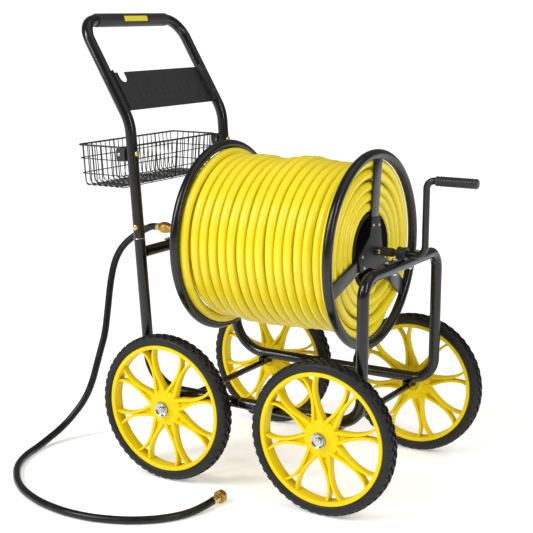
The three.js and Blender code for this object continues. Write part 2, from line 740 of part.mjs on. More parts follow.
// Leader hose: the swivel on the spindle, a coupling at each end and the hose on the ground.
const FERRULE_R = 9.6;
const STUB_R = 7.5;
const TAP_FERRULE = 24;
const TAP_NUT = 18;
const INLET_FERRULE = 12;
const INLET_NUT = 30;
const INLET_X = -392.3;
const LEADER_END = vec(2, -346, 14.6);
const LEADER_ROUTE = [
  [-392.3, 0, 560], [-400, 0, 560], [-411, 0, 558], [-426, -2, 551], [-444, -5, 541],
  [-462, -10, 528],
  [-481, -16, 511], [-497, -22, 489], [-509, -28, 460], [-515, -35, 425], [-517, -43, 386],
  [-517, -54, 334], [-518, -69, 270], [-522, -82, 231], [-527, -94, 192], [-534, -106, 149],
  [-545, -121, 109], [-562, -146, 70], [-579, -178, 38], [-588, -218, 19], [-585, -270, 9.5],
  [-571, -326, 9.4], [-543, -387, 9.4], [-501, -440, 9.4], [-450, -486, 9.4],
  [-387, -522, 9.4], [-303, -548, 9.4], [-216, -553, 9.4], [-143, -537, 9.4],
  [-81, -505, 9.4], [-36, -461, 9.4], [-11, -414, 10], [0, -377, 13.5],
  [2, -354, 14.6], [2, -346, 14.6],
];

function hexProfile(apothem, bore) {
  const corner = apothem / Math.cos(Math.PI / 6);
  const points = Array.from({ length: 6 }, (_, i) => {
    const angle = (Math.PI * (2 * i)) / 6;
    return new THREE.Vector2(corner * Math.cos(angle), corner * Math.sin(angle));
  });
  const hex = new THREE.Shape(points);
  hex.holes.push(new THREE.Path(ringPoints(bore, 12)));
  return hex;
}

// A crimped ferrule with the stub that its coupling nut turns on, from 0 along +Y.
function ferruleGeometry(length) {
  return revolve([
    [0, 0], [FERRULE_R, 0], [FERRULE_R, length], [STUB_R, length], [STUB_R, length + 12],
    [0, length + 12],
  ], 12, 'y');
}

function couplingNut(ferruleLength, depth) {
  const nut = new THREE.ExtrudeGeometry(hexProfile(NUT_APOTHEM, STUB_R + 0.5), {
    depth, bevelEnabled: false,
  });
  nut.rotateX(-Math.PI / 2);
  nut.translate(0, ferruleLength + 0.5, 0);
  return nut;
}

function addLeader() {
  const inletFerrule = ferruleGeometry(INLET_FERRULE);
  inletFerrule.rotateZ(-Math.PI / 2);
  addPiece(cart, 'inlet_ferrule', inletFerrule, 'brass').position.set(INLET_X + GAP, 0, REEL_Z);
  const inletNut = couplingNut(INLET_FERRULE, INLET_NUT);
  inletNut.rotateZ(-Math.PI / 2);
  addPiece(cart, 'inlet_nut', inletNut, 'brass').position.set(INLET_X + GAP, 0, REEL_Z);
  addPiece(cart, 'inlet_swivel_body', swivelBody(), 'brass').position.z = REEL_Z;

  const ferrule = addPiece(cart, 'leader_ferrule', ferruleGeometry(TAP_FERRULE), 'brass');
  ferrule.position.copy(LEADER_END).y += GAP;
  const nut = addPiece(cart, 'leader_coupling_nut', couplingNut(TAP_FERRULE, TAP_NUT), 'brass');
  nut.position.copy(LEADER_END).y += GAP;

  const route = new THREE.CatmullRomCurve3(LEADER_ROUTE.map(([x, y, z]) => vec(x, y, z)));
  const hose = new THREE.ExtrudeGeometry(roundSection(LEADER_R, 0, 8), {
    steps: 42, extrudePath: route, bevelEnabled: false,
  });
  addPiece(cart, 'leader_hose', hose, 'blackHose');
}

// Brass body that the turning spindle enters from one side and the leader hose's nut from the other.
function swivelBody() {
  const x0 = INLET_X + GAP + INLET_FERRULE + INLET_NUT + 1;
  const x1 = REAR_BAR_X - BEARING_HALF_LENGTH - 1;
  const bore = SHAFT_R + GAP;
  return revolve([
    [5, x0], [11, x0], [11, x0 + 8], [13, x0 + 10], [13, x1], [bore, x1], [bore, x0 + 4],
    [5, x0 + 4], [5, x0],
  ], 12, 'x');
}

addFrame();
addFasteners();
addHandleGrip();
addToolPanel();
addBasket();
addBearings();
addAxles();
addWheels();
addReel();
addCrankGrip();
addLeader();

export default cart;
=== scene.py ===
"""Garden hose reel cart: a bent-tube frame on four spoked wheels, a crank-turned reel full of hose,
a wire basket and a tool panel behind it, and a leader hose that lies on the ground.
Metres, +Z up, +X towards the crank, left is -Y."""
import math

import bmesh
import bpy
from mathutils import Matrix, Vector, noise


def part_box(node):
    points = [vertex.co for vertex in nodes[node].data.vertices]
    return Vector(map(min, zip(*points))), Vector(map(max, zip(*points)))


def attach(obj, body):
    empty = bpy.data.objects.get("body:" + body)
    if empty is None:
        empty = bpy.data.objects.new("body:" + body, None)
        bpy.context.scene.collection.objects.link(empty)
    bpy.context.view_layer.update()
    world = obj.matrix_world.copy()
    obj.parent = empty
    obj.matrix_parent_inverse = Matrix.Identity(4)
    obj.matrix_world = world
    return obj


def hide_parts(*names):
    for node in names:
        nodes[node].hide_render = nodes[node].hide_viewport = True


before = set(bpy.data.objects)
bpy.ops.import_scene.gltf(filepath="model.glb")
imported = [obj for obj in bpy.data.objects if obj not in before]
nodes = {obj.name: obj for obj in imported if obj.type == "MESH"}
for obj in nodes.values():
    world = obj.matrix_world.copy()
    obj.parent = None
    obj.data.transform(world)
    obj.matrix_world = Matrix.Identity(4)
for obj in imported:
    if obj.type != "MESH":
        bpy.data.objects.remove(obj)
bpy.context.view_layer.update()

scene = bpy.context.scene
scene.view_settings.view_transform = "Standard"


# Camera: a long lens at hip height, off the crank end's left corner.
camera_data = bpy.data.cameras.new("camera")
camera_data.lens = 83.37
camera_data.sensor_width = 36.0
camera = bpy.data.objects.new("camera", camera_data)
camera.location = (1.4649, -2.5413, 1.1109)
camera.rotation_euler = (math.radians(78.181), 0.0, math.radians(31.003))
scene.collection.objects.link(camera)
scene.camera = camera


# Leader hose: 18 mm black rubber hose from the swivel behind the reel, down behind the left
# post and in one loose curve over the ground, to a brass tap nut.
HOSE_RADIUS = 0.009
LEADER_ROUTE = (
    (-0.3923, 0.0, 0.560), (-0.400, 0.0, 0.560), (-0.411, 0.0, 0.558), (-0.426, -0.002, 0.551),
    (-0.444, -0.005, 0.541), (-0.462, -0.010, 0.528), (-0.481, -0.016, 0.511),
    (-0.497, -0.022, 0.489), (-0.509, -0.028, 0.460), (-0.515, -0.035, 0.425),
    (-0.517, -0.043, 0.386), (-0.517, -0.054, 0.334), (-0.518, -0.069, 0.270),
    (-0.522, -0.082, 0.231), (-0.527, -0.094, 0.192), (-0.534, -0.106, 0.149),
    (-0.545, -0.121, 0.109), (-0.562, -0.146, 0.070), (-0.579, -0.178, 0.038),
    (-0.588, -0.218, 0.019), (-0.585, -0.270, 0.0095), (-0.571, -0.326, 0.0094),
    (-0.543, -0.387, 0.0094), (-0.501, -0.440, 0.0094), (-0.450, -0.486, 0.0094),
    (-0.387, -0.522, 0.0094), (-0.303, -0.548, 0.0094), (-0.216, -0.553, 0.0094),
    (-0.143, -0.537, 0.0094), (-0.081, -0.505, 0.0094), (-0.036, -0.461, 0.0094),
    (-0.011, -0.414, 0.010), (0.000, -0.377, 0.0135), (0.002, -0.354, 0.0146),
    (0.002, -0.346, 0.0146),
)


def node_material(name, base, roughness, metallic=0.0, gloss=0.5):
    """A named material with its shader's own colour, roughness, metal and gloss."""
    material = bpy.data.materials.new(name)
    material.use_nodes = True
    shader = material.node_tree.nodes["Principled BSDF"]
    shader.inputs["Base Color"].default_value = (*base, 1.0)
    shader.inputs["Roughness"].default_value = roughness
    shader.inputs["Metallic"].default_value = metallic
    shader.inputs["Specular IOR Level"].default_value = gloss
    return material


def add_pattern(material, scale, detail=4.0, stretch=(1.0, 1.0, 1.0)):
    """A noise pattern on the object's own coordinates; its Fac output drives the finish."""
    tree = material.node_tree
    place = tree.nodes.new("ShaderNodeTexCoord")
    mapping = tree.nodes.new("ShaderNodeMapping")
    mapping.inputs["Scale"].default_value = stretch
    tree.links.new(place.outputs["Object"], mapping.inputs["Vector"])
    pattern = tree.nodes.new("ShaderNodeTexNoise")
    pattern.inputs["Scale"].default_value = scale
    pattern.inputs["Detail"].default_value = detail
    tree.links.new(mapping.outputs["Vector"], pattern.inputs["Vector"])
    return pattern.outputs["Fac"]


def vary(material, source, socket, low, high):
    """Lets a pattern move a shader socket between two values or two colours."""
    tree = material.node_tree
    shader = tree.nodes["Principled BSDF"]
    if isinstance(low, tuple):
        ramp = tree.nodes.new("ShaderNodeValToRGB")
        ramp.color_ramp.elements[0].position = 0.3
        ramp.color_ramp.elements[0].color = (*low, 1.0)
        ramp.color_ramp.elements[1].position = 0.7
        ramp.color_ramp.elements[1].color = (*high, 1.0)
        tree.links.new(source, ramp.inputs["Fac"])
        tree.links.new(ramp.outputs["Color"], shader.inputs[socket])
        return
    spread = tree.nodes.new("ShaderNodeMapRange")
    spread.inputs["From Min"].default_value = 0.3
    spread.inputs["From Max"].default_value = 0.7
    spread.inputs["To Min"].default_value = low
    spread.inputs["To Max"].default_value = high
    tree.links.new(source, spread.inputs["Value"])
    tree.links.new(spread.outputs["Result"], shader.inputs[socket])


def roughen(material, source, depth):
    """Raises a pattern as fine relief, depth metres high."""
    tree = material.node_tree
    bump = tree.nodes.new("ShaderNodeBump")
    bump.inputs["Strength"].default_value = 1.0
    bump.inputs["Distance"].default_value = depth
    tree.links.new(source, bump.inputs["Height"])
    tree.links.new(bump.outputs["Normal"], tree.nodes["Principled BSDF"].inputs["Normal"])


def extruded_rubber():
    material = node_material("extruded_rubber", (0.004, 0.004, 0.005), 0.25, gloss=0.35)
    scuffs = add_pattern(material, 60.0)
    vary(material, scuffs, "Roughness", 0.24, 0.42)
    vary(material, scuffs, "Base Color", (0.002, 0.002, 0.003), (0.007, 0.007, 0.008))
    grain = add_pattern(material, 900.0, 2.0)
    roughen(material, grain, 0.00008)
    return material


leader_line = bpy.data.curves.new("leader_hose_skin", "CURVE")
leader_line.dimensions = "3D"
leader_line.bevel_depth = HOSE_RADIUS
leader_line.bevel_resolution = 6
leader_line.resolution_u = 8
leader_line.use_fill_caps = True
leader_spline = leader_line.splines.new("BEZIER")
leader_spline.bezier_points.add(len(LEADER_ROUTE) - 1)
for point, place in zip(leader_spline.bezier_points, LEADER_ROUTE):
    point.co = place
    point.handle_left_type = "AUTO"
    point.handle_right_type = "AUTO"
leader_hose = bpy.data.objects.new("leader_hose_skin", leader_line)
leader_line.materials.append(extruded_rubber())
scene.collection.objects.link(leader_hose)
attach(leader_hose, "frame")
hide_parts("leader_hose")


# Brass fittings: machined and crimped brass, polished where it was turned and duller on the
# cast faces. Each is spun up from its outline about its own axis.
def polished_brass():
    material = node_material("polished_brass", (0.62, 0.40, 0.10), 0.25, 1.0)
    tarnish = add_pattern(material, 140.0, 5.0)
    vary(material, tarnish, "Base Color", (0.52, 0.36, 0.10), (0.82, 0.66, 0.30))
    vary(material, tarnish, "Roughness", 0.18, 0.40)
    return material


def cast_brass():
    material = node_material("cast_brass", (0.50, 0.27, 0.05), 0.4, 1.0)
    skin = add_pattern(material, 420.0, 6.0)
    vary(material, skin, "Base Color", (0.36, 0.17, 0.03), (0.62, 0.37, 0.09))
    vary(material, skin, "Roughness", 0.32, 0.55)
    roughen(material, skin, 0.00012)
    return material


def refinish(node_name, material):
    """Gives a carried-over CAD node its finish."""
    for slot in nodes[node_name].material_slots:
        slot.material = material


def finish_piece(bm, name, material, body, replaced=(), crease=35.0):
    """Closes a bmesh into a piece with outward faces, smooth up to the crease angle."""
    bmesh.ops.remove_doubles(bm, verts=bm.verts, dist=0.00001)
    bmesh.ops.recalc_face_normals(bm, faces=bm.faces)
    for edge in bm.edges:
        edge.smooth = edge.is_manifold and edge.calc_face_angle() < math.radians(crease)
    for face in bm.faces:
        face.smooth = True
    mesh = bpy.data.meshes.new(name)
    bm.to_mesh(mesh)
    bm.free()
    mesh.materials.append(material)
    piece = bpy.data.objects.new(name, mesh)
    scene.collection.objects.link(piece)
    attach(piece, body)
    if replaced:
        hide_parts(*replaced)
    return piece


def turn_up(bm, outline, origin, axis, steps=32):
    """Spins an outline of (radius, distance along the axis) points a full turn round an axis."""
    axis = Vector(axis).normalized()
    out = axis.orthogonal().normalized()
    points = [bm.verts.new(Vector(origin) + out * r + axis * along) for r, along in outline]
    edges = [bm.edges.new(pair) for pair in zip(points, points[1:])]
    bmesh.ops.spin(bm, geom=points + edges, cent=origin, axis=axis, angle=2 * math.pi,
                   steps=steps, use_merge=True)
    bmesh.ops.remove_doubles(bm, verts=bm.verts, dist=0.000002)


def edges_of(verts):
    return list({edge for vert in verts for edge in vert.link_edges})


def ease_edges(bm, edges, offset, segments=2):
    """Rounds sharp edges over, as a file or a die does."""
    return bmesh.ops.bevel(bm, geom=edges, offset=offset, segments=segments, profile=0.5,
                           affect="EDGES", material=-1)["verts"]


def hex_bar(bm, apothem, origin, axis, start, end, bevel):
    """A hexagonal nut or head between two places on an axis, with eased corners."""
    axis = Vector(axis).normalized()
    flat = hexagon_turn(axis)
    made = bmesh.ops.create_cone(
        bm, cap_ends=True, segments=6, radius1=apothem / math.cos(math.pi / 6),
        radius2=apothem / math.cos(math.pi / 6), depth=end - start,
        matrix=Matrix.Translation(Vector(origin) + axis * (start + end) / 2) @ flat)
    ease_edges(bm, edges_of(made["verts"]), bevel)


def hexagon_turn(axis):
    """The turn that carries +Z onto an axis, with a flat of a hexagon kept level."""
    if abs(axis.z) > 0.9:
        return Matrix.Identity(4)
    across = Vector((0.0, 0.0, 1.0)).cross(axis).normalized()
    return Matrix((across, axis.cross(across), axis)).transposed().to_4x4()


def ribbed_ferrule(bm, radius, origin, axis, length, ribs):
    """A crimped sleeve with rounded ribs, closed at the hose end and at the nut end."""
    outline = [(0.0, 0.0), (radius - 0.0012, 0.0)]
    pitch = length / ribs
    for rib in range(ribs):
        start = rib * pitch
        outline += [(radius - 0.0010, start + 0.15 * pitch), (radius, start + 0.35 * pitch),
                    (radius, start + 0.65 * pitch), (radius - 0.0010, start + 0.85 * pitch)]
    outline += [(radius - 0.0012, length), (0.0, length)]
    turn_up(bm, outline, origin, axis)


FERRULE_RADIUS = 0.0098
NUT_APOTHEM = 0.014
TAP_END = Vector((0.002, -0.3457, 0.0146))
bm = bmesh.new()
ribbed_ferrule(bm, FERRULE_RADIUS, TAP_END, (0, 1, 0), 0.0242, 4)
leader_ferrule = finish_piece(bm, "leader_ferrule_skin", polished_brass(), "frame",
                              ["leader_ferrule"])

bm = bmesh.new()
turn_up(bm, [(0.0078, 0.0425), (0.0078, 0.0245), (0.0125, 0.0245), (0.0138, 0.0262),
             (0.0138, 0.0300), (0.0125, 0.0425), (0.0078, 0.0425)], TAP_END, (0, 1, 0))
hex_bar(bm, NUT_APOTHEM, TAP_END, (0, 1, 0), 0.0265, 0.0400, 0.0012)
leader_nut = finish_piece(bm, "leader_coupling_nut_skin", cast_brass(), "leader_nut",
                          ["leader_coupling_nut"])

INLET = Vector((-0.392, 0.0, 0.560))
bm = bmesh.new()
ribbed_ferrule(bm, FERRULE_RADIUS, INLET, (1, 0, 0), 0.0122, 2)
finish_piece(bm, "inlet_ferrule_skin", polished_brass(), "frame", ["inlet_ferrule"])

bm = bmesh.new()
turn_up(bm, [(0.0, 0.0123), (0.0105, 0.0123), (0.0125, 0.0150), (0.0142, 0.0190),
             (0.0148, 0.0240), (0.0146, 0.0300), (0.0135, 0.0350), (0.0120, 0.0380),
             (0.0115, 0.0424), (0.0, 0.0424)], INLET, (1, 0, 0))
finish_piece(bm, "inlet_nut_skin", cast_brass(), "frame", ["inlet_nut"])


# Frame tubes: 27 mm steel tube, bent cold and powder coated satin black. A ring of points is run
# from bend to bend and spun round each, as the tube goes through the bender.
def powder_coat(name="powder_coat", base=(0.004, 0.004, 0.005), low=0.13, high=0.24):
    material = node_material(name, base, low, gloss=0.5)
    clouds = add_pattern(material, 25.0)
    vary(material, clouds, "Roughness", low, high)
    orange_peel = add_pattern(material, 700.0, 2.0)
    roughen(material, orange_peel, 0.00005)
    return material


def bend_tube(bm, corners, bends, radius, sides=24, arc=math.radians(6)):
    """Runs a ring of points along the corners, spun round each bend, and caps both ends."""
    corners = [Vector(corner) for corner in corners]
    heading = (corners[1] - corners[0]).normalized()
    at = corners[0]
    turn = heading.to_track_quat("Z", "Y").to_matrix().to_4x4()
    ring = bmesh.ops.create_circle(bm, cap_ends=True, segments=sides, radius=radius,
                                   matrix=Matrix.Translation(at) @ turn)["verts"]
    edges = edges_of(ring)
    for corner, after, bend in zip(corners[1:], corners[2:], bends):
        leaving = (after - corner).normalized()
        angle = heading.angle(leaving)
        reach = bend * math.tan(angle / 2)
        tangent = corner - heading * reach
        edges = run_on(bm, edges, tangent - at)
        axis = heading.cross(leaving).normalized()
        steps = max(3, round(angle / arc))
        swung = bmesh.ops.spin(bm, geom=edges, cent=tangent + axis.cross(heading) * bend,
                               axis=axis, angle=angle, steps=steps)
        edges = [part for part in swung["geom_last"] if isinstance(part, bmesh.types.BMEdge)]
        at = corner + leaving * reach
        heading = leaving
    edges = run_on(bm, edges, corners[-1] - at)
    bmesh.ops.contextual_create(bm, geom=edges)


def run_on(bm, edges, step):
    """Extrudes a ring of edges straight on and returns the new ring."""
    made = bmesh.ops.extrude_edge_only(bm, edges=edges)["geom"]
    moved = [part for part in made if isinstance(part, bmesh.types.BMVert)]
    bmesh.ops.translate(bm, verts=moved, vec=step)
    return [part for part in made if isinstance(part, bmesh.types.BMEdge)
            and all(vert in moved for vert in part.verts)]


GAP = 0.0003
TUBE_RADIUS = 0.0135
FRAME_Y = 0.199
RAIL_Z = 0.205
RAIL_SEAM_X = -0.011
HOOP_X = 0.302
REEL_Z = 0.560
HOOP_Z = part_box("rear_cross_bar")[0][2] + TUBE_RADIUS
POST_LEAN = -0.0755
ARM_LEAN = -0.5975
HANDLE_BEND_Z = 0.846
HANDLE_TOP_Z = 1.082
POST_SEAM_Z = 0.570


def post_x(z):
    return -0.2707 + POST_LEAN * (z - RAIL_Z)


def arm_x(z):
    return post_x(HANDLE_BEND_Z) + ARM_LEAN * (z - HANDLE_BEND_Z)


black_paint = powder_coat()
bm = bmesh.new()
bend_tube(bm, [(RAIL_SEAM_X, -FRAME_Y, RAIL_Z), (HOOP_X, -FRAME_Y, RAIL_Z),
               (HOOP_X, -FRAME_Y, HOOP_Z), (HOOP_X, FRAME_Y, HOOP_Z),
               (HOOP_X, FRAME_Y, RAIL_Z), (RAIL_SEAM_X, FRAME_Y, RAIL_Z)],
          [0.058, 0.045, 0.045, 0.058], TUBE_RADIUS)
finish_piece(bm, "front_frame_tube", black_paint, "frame", ["front_frame"])

for side, sign in (("left", -1), ("right", 1)):
    bm = bmesh.new()
    y = sign * FRAME_Y
    bend_tube(bm, [(RAIL_SEAM_X - GAP, y, RAIL_Z), (post_x(RAIL_Z), y, RAIL_Z),
                   (post_x(POST_SEAM_Z), y, POST_SEAM_Z)], [0.090], TUBE_RADIUS)
    finish_piece(bm, f"rear_frame_tube_{side}", black_paint, "frame",
                 [f"rear_frame_{side}"])

bm = bmesh.new()
seam_z = POST_SEAM_Z + GAP
bend_tube(bm, [(post_x(seam_z), -FRAME_Y, seam_z), (post_x(HANDLE_BEND_Z), -FRAME_Y, HANDLE_BEND_Z),
               (arm_x(HANDLE_TOP_Z), -FRAME_Y, HANDLE_TOP_Z),
               (arm_x(HANDLE_TOP_Z), FRAME_Y, HANDLE_TOP_Z),
               (post_x(HANDLE_BEND_Z), FRAME_Y, HANDLE_BEND_Z), (post_x(seam_z), FRAME_Y, seam_z)],
          [0.110, 0.055, 0.055, 0.110], TUBE_RADIUS)
finish_piece(bm, "handle_tube_bent", black_paint, "frame", ["handle_tube"])

bm = bmesh.new()
REAR_BAR_X = post_x(HOOP_Z)
BAR_END = FRAME_Y - TUBE_RADIUS - GAP
bend_tube(bm, [(REAR_BAR_X, -BAR_END, HOOP_Z), (REAR_BAR_X, BAR_END, HOOP_Z)], [], TUBE_RADIUS)
finish_piece(bm, "rear_cross_tube", black_paint, "frame", ["rear_cross_bar"])

# The swaged ends show as a bright, bare ring of steel where the handle tube meets each post, and
# the rails meet in the same way under the reel.
def bare_steel():
    material = node_material("bare_steel", (0.55, 0.47, 0.33), 0.3, 1.0)
    marks = add_pattern(material, 300.0, 3.0)
    vary(material, marks, "Roughness", 0.2, 0.45)
    return material


bm = bmesh.new()
post_axis = Vector((POST_LEAN, 0, 1)).normalized()
for sign in (-1, 1):
    seam = Vector((post_x(POST_SEAM_Z), sign * FRAME_Y, POST_SEAM_Z))
    turn_up(bm, [(0.0, -0.0006), (0.0137, -0.0006), (0.0141, 0.0), (0.0137, 0.0009),
                 (0.0, 0.0009)], seam, post_axis)
    turn_up(bm, [(0.0, -0.0006), (0.0136, -0.0006), (0.0136, 0.0006), (0.0, 0.0006)],
            (RAIL_SEAM_X, sign * FRAME_Y, RAIL_Z), (1, 0, 0))
finish_piece(bm, "tube_seam_rings", bare_steel(), "frame")


# Wheels: moulded yellow eight-spoke rims with black treaded tyres. Each spoke is two curved
# ribs that part at the hub, run together and fork again at the rim, with a web between them.
WHEEL_Y = 0.2475
WHEEL_RADIUS = 0.178
AXLE_X = {"front": 0.232, "rear": -0.192}
RIM_OUTER = 0.154
RIM_INNER = 0.1437
RIM_HALF_WIDTH = 0.016
HUB_HALF = 0.019
SPOKES = 8
SPOKE_PHASE = {"front": math.radians(13), "rear": math.radians(19)}
RIB_STATIONS = (  # distance from the axle, offset from the spoke's middle, width, depth
    (0.0200, 0.0090, 0.0085, 0.0250), (0.0340, 0.0110, 0.0085, 0.0240),
    (0.0480, 0.0102, 0.0080, 0.0220), (0.0620, 0.0072, 0.0076, 0.0205),
    (0.0760, 0.0047, 0.0074, 0.0195), (0.0900, 0.0037, 0.0072, 0.0190),
    (0.1040, 0.0040, 0.0070, 0.0190), (0.1180, 0.0062, 0.0066, 0.0190),
    (0.1300, 0.0100, 0.0064, 0.0200), (0.1400, 0.0152, 0.0066, 0.0215),
    (0.1470, 0.0200, 0.0068, 0.0230),
)


def moulded_yellow():
    material = node_material("moulded_yellow", (0.78, 0.58, 0.001), 0.34, gloss=0.15)
    shade = add_pattern(material, 14.0, 2.0)
    vary(material, shade, "Base Color", (0.75, 0.55, 0.001), (0.81, 0.61, 0.002))
    grain = add_pattern(material, 520.0, 3.0)
    vary(material, grain, "Roughness", 0.30, 0.42)
    roughen(material, grain, 0.00006)
    return material


def spoke_rib(bm, sign):
    """One curved rib of a spoke along +X: a cross-section extruded from station to station."""
    r, offset, width, depth = RIB_STATIONS[0]
    face = bmesh.ops.create_grid(bm, x_segments=1, y_segments=1, size=0.5,
                                 matrix=Matrix.Rotation(math.pi / 2, 4, "Y"))["verts"]
    shape_section(bm, face, r, sign * offset, width, depth, Vector((0, 0, 0)), 1.0, 1.0)
    section = [face[0].link_faces[0]]
    for before, after in zip(RIB_STATIONS, RIB_STATIONS[1:]):
        grown = bmesh.ops.extrude_face_region(bm, geom=section)["geom"]
        verts = [part for part in grown if isinstance(part, bmesh.types.BMVert)]
        centre = Vector((before[0], 0, sign * before[1]))
        shape_section(bm, verts, after[0], sign * after[1], after[2], after[3], centre,
                      before[2], before[3])
        bmesh.ops.delete(bm, geom=section, context="FACES_ONLY")
        section = [part for part in grown if isinstance(part, bmesh.types.BMFace)]


def shape_section(bm, verts, r, offset, width, depth, centre, old_width, old_depth):
    """Moves a rib's section to its next station, scaled to that station's width and depth."""
    bmesh.ops.translate(bm, verts=verts, vec=-centre)
    bmesh.ops.scale(bm, verts=verts, vec=(1, depth / old_depth, width / old_width))
    bmesh.ops.translate(bm, verts=verts, vec=(r, 0, offset))


def ease_long_edges(bm, offset):
    """Rounds the edges that run along the ribs."""
    long_edges = [edge for edge in bm.edges
                  if edge.is_manifold and edge.calc_face_angle() > math.radians(60)]
    ease_edges(bm, long_edges, offset)


def spoked_rim(bm, centre, phase):
    """All of a rim about the origin, then put in its place."""
    for sign in (-1, 1):
        spoke_rib(bm, sign)
    bmesh.ops.recalc_face_normals(bm, faces=bm.faces)
    ease_long_edges(bm, 0.0019)
    web = bmesh.ops.create_cube(bm, size=1.0, matrix=Matrix.Diagonal((0.060, 0.0075, 0.0140, 1)))
    bmesh.ops.translate(bm, verts=web["verts"], vec=(0.050, 0, 0))
    bmesh.ops.spin(bm, geom=bm.verts[:] + bm.edges[:] + bm.faces[:], cent=(0, 0, 0),
                   axis=(0, -1, 0), angle=2 * math.pi * (SPOKES - 1) / SPOKES,
                   steps=SPOKES - 1, use_duplicate=True)
    lip = RIM_HALF_WIDTH
    turn_up(bm, [(RIM_INNER + 0.0018, -lip), (RIM_OUTER - 0.0010, -lip), (RIM_OUTER, -lip + 0.001),
                 (RIM_OUTER, lip - 0.001), (RIM_OUTER - 0.0010, lip), (RIM_INNER + 0.0018, lip),
                 (RIM_INNER + 0.0004, lip - 0.0010), (RIM_INNER, lip - 0.0030),
                 (RIM_INNER + 0.0012, 0.0), (RIM_INNER, -lip + 0.0030),
                 (RIM_INNER + 0.0004, -lip + 0.0010), (RIM_INNER + 0.0018, -lip)],
            (0, 0, 0), (0, 1, 0), 96)
    hub = HUB_HALF
    turn_up(bm, [(0.0091, -hub + 0.003), (0.0165, -hub + 0.003), (0.0172, -hub + 0.0004),
                 (0.0182, -hub), (0.0196, -hub), (0.0206, -hub + 0.0008),
                 (0.0212, -hub + 0.0030), (0.0232, -hub + 0.0038), (0.0262, -0.0120),
                 (0.0400, -0.0095), (0.0440, -0.0070), (0.0440, 0.0070), (0.0400, 0.0095),
                 (0.0262, 0.0120), (0.0232, hub - 0.0038),
                 (0.0212, hub - 0.0030), (0.0206, hub - 0.0008), (0.0196, hub), (0.0182, hub),
                 (0.0172, hub - 0.0004), (0.0165, hub - 0.003), (0.0091, hub - 0.003),
                 (0.0091, -hub + 0.003)], (0, 0, 0), (0, 1, 0), 48)
    bmesh.ops.rotate(bm, verts=bm.verts, cent=(0, 0, 0), matrix=Matrix.Rotation(-phase, 3, "Y"))
    bmesh.ops.translate(bm, verts=bm.verts, vec=centre)


def tread_rubber():
    material = node_material("tread_rubber", (0.009, 0.009, 0.010), 0.5, gloss=0.3)
    dust = add_pattern(material, 45.0, 5.0)
    vary(material, dust, "Base Color", (0.006, 0.006, 0.007), (0.016, 0.016, 0.017))
    vary(material, dust, "Roughness", 0.38, 0.6)
    grain = add_pattern(material, 800.0, 2.0)
    roughen(material, grain, 0.00012)
    return material


# Tread: rows of small rubber blocks, (side offset, width, length, count, turn in rows).
TREAD_ROWS = (
    (-0.0128, 0.0082, 0.0125, 52, 0.0), (-0.0042, 0.0066, 0.0120, 52, 0.5),
    (0.0042, 0.0066, 0.0120, 52, 0.0), (0.0128, 0.0082, 0.0125, 52, 0.5),
)
TREAD_BASE = 0.1742


def treaded_tyre(bm, centre):
    for offset, width, length, count, shift in TREAD_ROWS:
        begin = len(bm.verts)
        drop = 0.0016 * (abs(offset) > 0.008)
        block = bmesh.ops.create_cube(
            bm, size=1.0, matrix=Matrix.Diagonal((0.0060, width, length, 1)))["verts"]
        top = [vert for vert in block if vert.co.x > 0]
        bmesh.ops.scale(bm, verts=top, vec=(1, 0.84, 0.84))
        outer = [vert for vert in top if vert.co.y * offset > 0 and drop]
        bmesh.ops.translate(bm, verts=outer, vec=(-0.0028, 0, 0))
        bmesh.ops.translate(bm, verts=block, vec=(WHEEL_RADIUS - 0.0030 - drop / 4, offset, 0))
        bm.verts.ensure_lookup_table()
        own = bm.verts[begin:]
        bmesh.ops.rotate(bm, verts=own, cent=(0, 0, 0),
                         matrix=Matrix.Rotation(2 * math.pi * shift / count, 3, "Y"))
        geometry = own + list({e for v in own for e in v.link_edges})
        geometry += list({f for v in own for f in v.link_faces})
        bmesh.ops.spin(bm, geom=geometry, cent=(0, 0, 0), axis=(0, 1, 0),
                       angle=2 * math.pi * (count - 1) / count, steps=count - 1,
                       use_duplicate=True)
    half = 0.0195
    turn_up(bm, [(0.1543, -0.0160), (0.1560, -0.0178), (0.1600, -0.0190), (0.1650, -half),
                 (0.1695, -0.0188), (0.1725, -0.0168), (TREAD_BASE, -0.0130), (TREAD_BASE, 0.0130),
                 (0.1725, 0.0168), (0.1695, 0.0188), (0.1650, half), (0.1600, 0.0190),
                 (0.1560, 0.0178), (0.1543, 0.0160), (0.1543, -0.0160)],
            (0, 0, 0), (0, 1, 0), 104)
    bmesh.ops.translate(bm, verts=bm.verts, vec=centre)


wheel_yellow = moulded_yellow()
tyre_black = tread_rubber()
for end, axle_x in AXLE_X.items():
    for side, sign in (("left", -1), ("right", 1)):
        centre = Vector((axle_x, sign * WHEEL_Y, WHEEL_RADIUS))
        body = f"wheel_{end}_{side}"
        bm = bmesh.new()
        spoked_rim(bm, centre, SPOKE_PHASE[end])
        finish_piece(bm, f"spoked_rim_{end}_{side}", wheel_yellow, body,
                     [f"wheel_rim_{end}_{side}"])
        bm = bmesh.new()
        treaded_tyre(bm, centre)
        finish_piece(bm, f"treaded_tyre_{end}_{side}", tyre_black, body,
                     [f"wheel_tyre_{end}_{side}"])


# Axle nuts: a cupped zinc washer and a hexagon nut on each end of the two axle rods.
def bright_zinc():
    material = node_material("bright_zinc", (0.72, 0.74, 0.77), 0.18, 1.0)
    bloom = add_pattern(material, 220.0, 3.0)
    vary(material, bloom, "Roughness", 0.12, 0.32)
    vary(material, bloom, "Base Color", (0.42, 0.44, 0.47), (0.70, 0.72, 0.75))
    return material


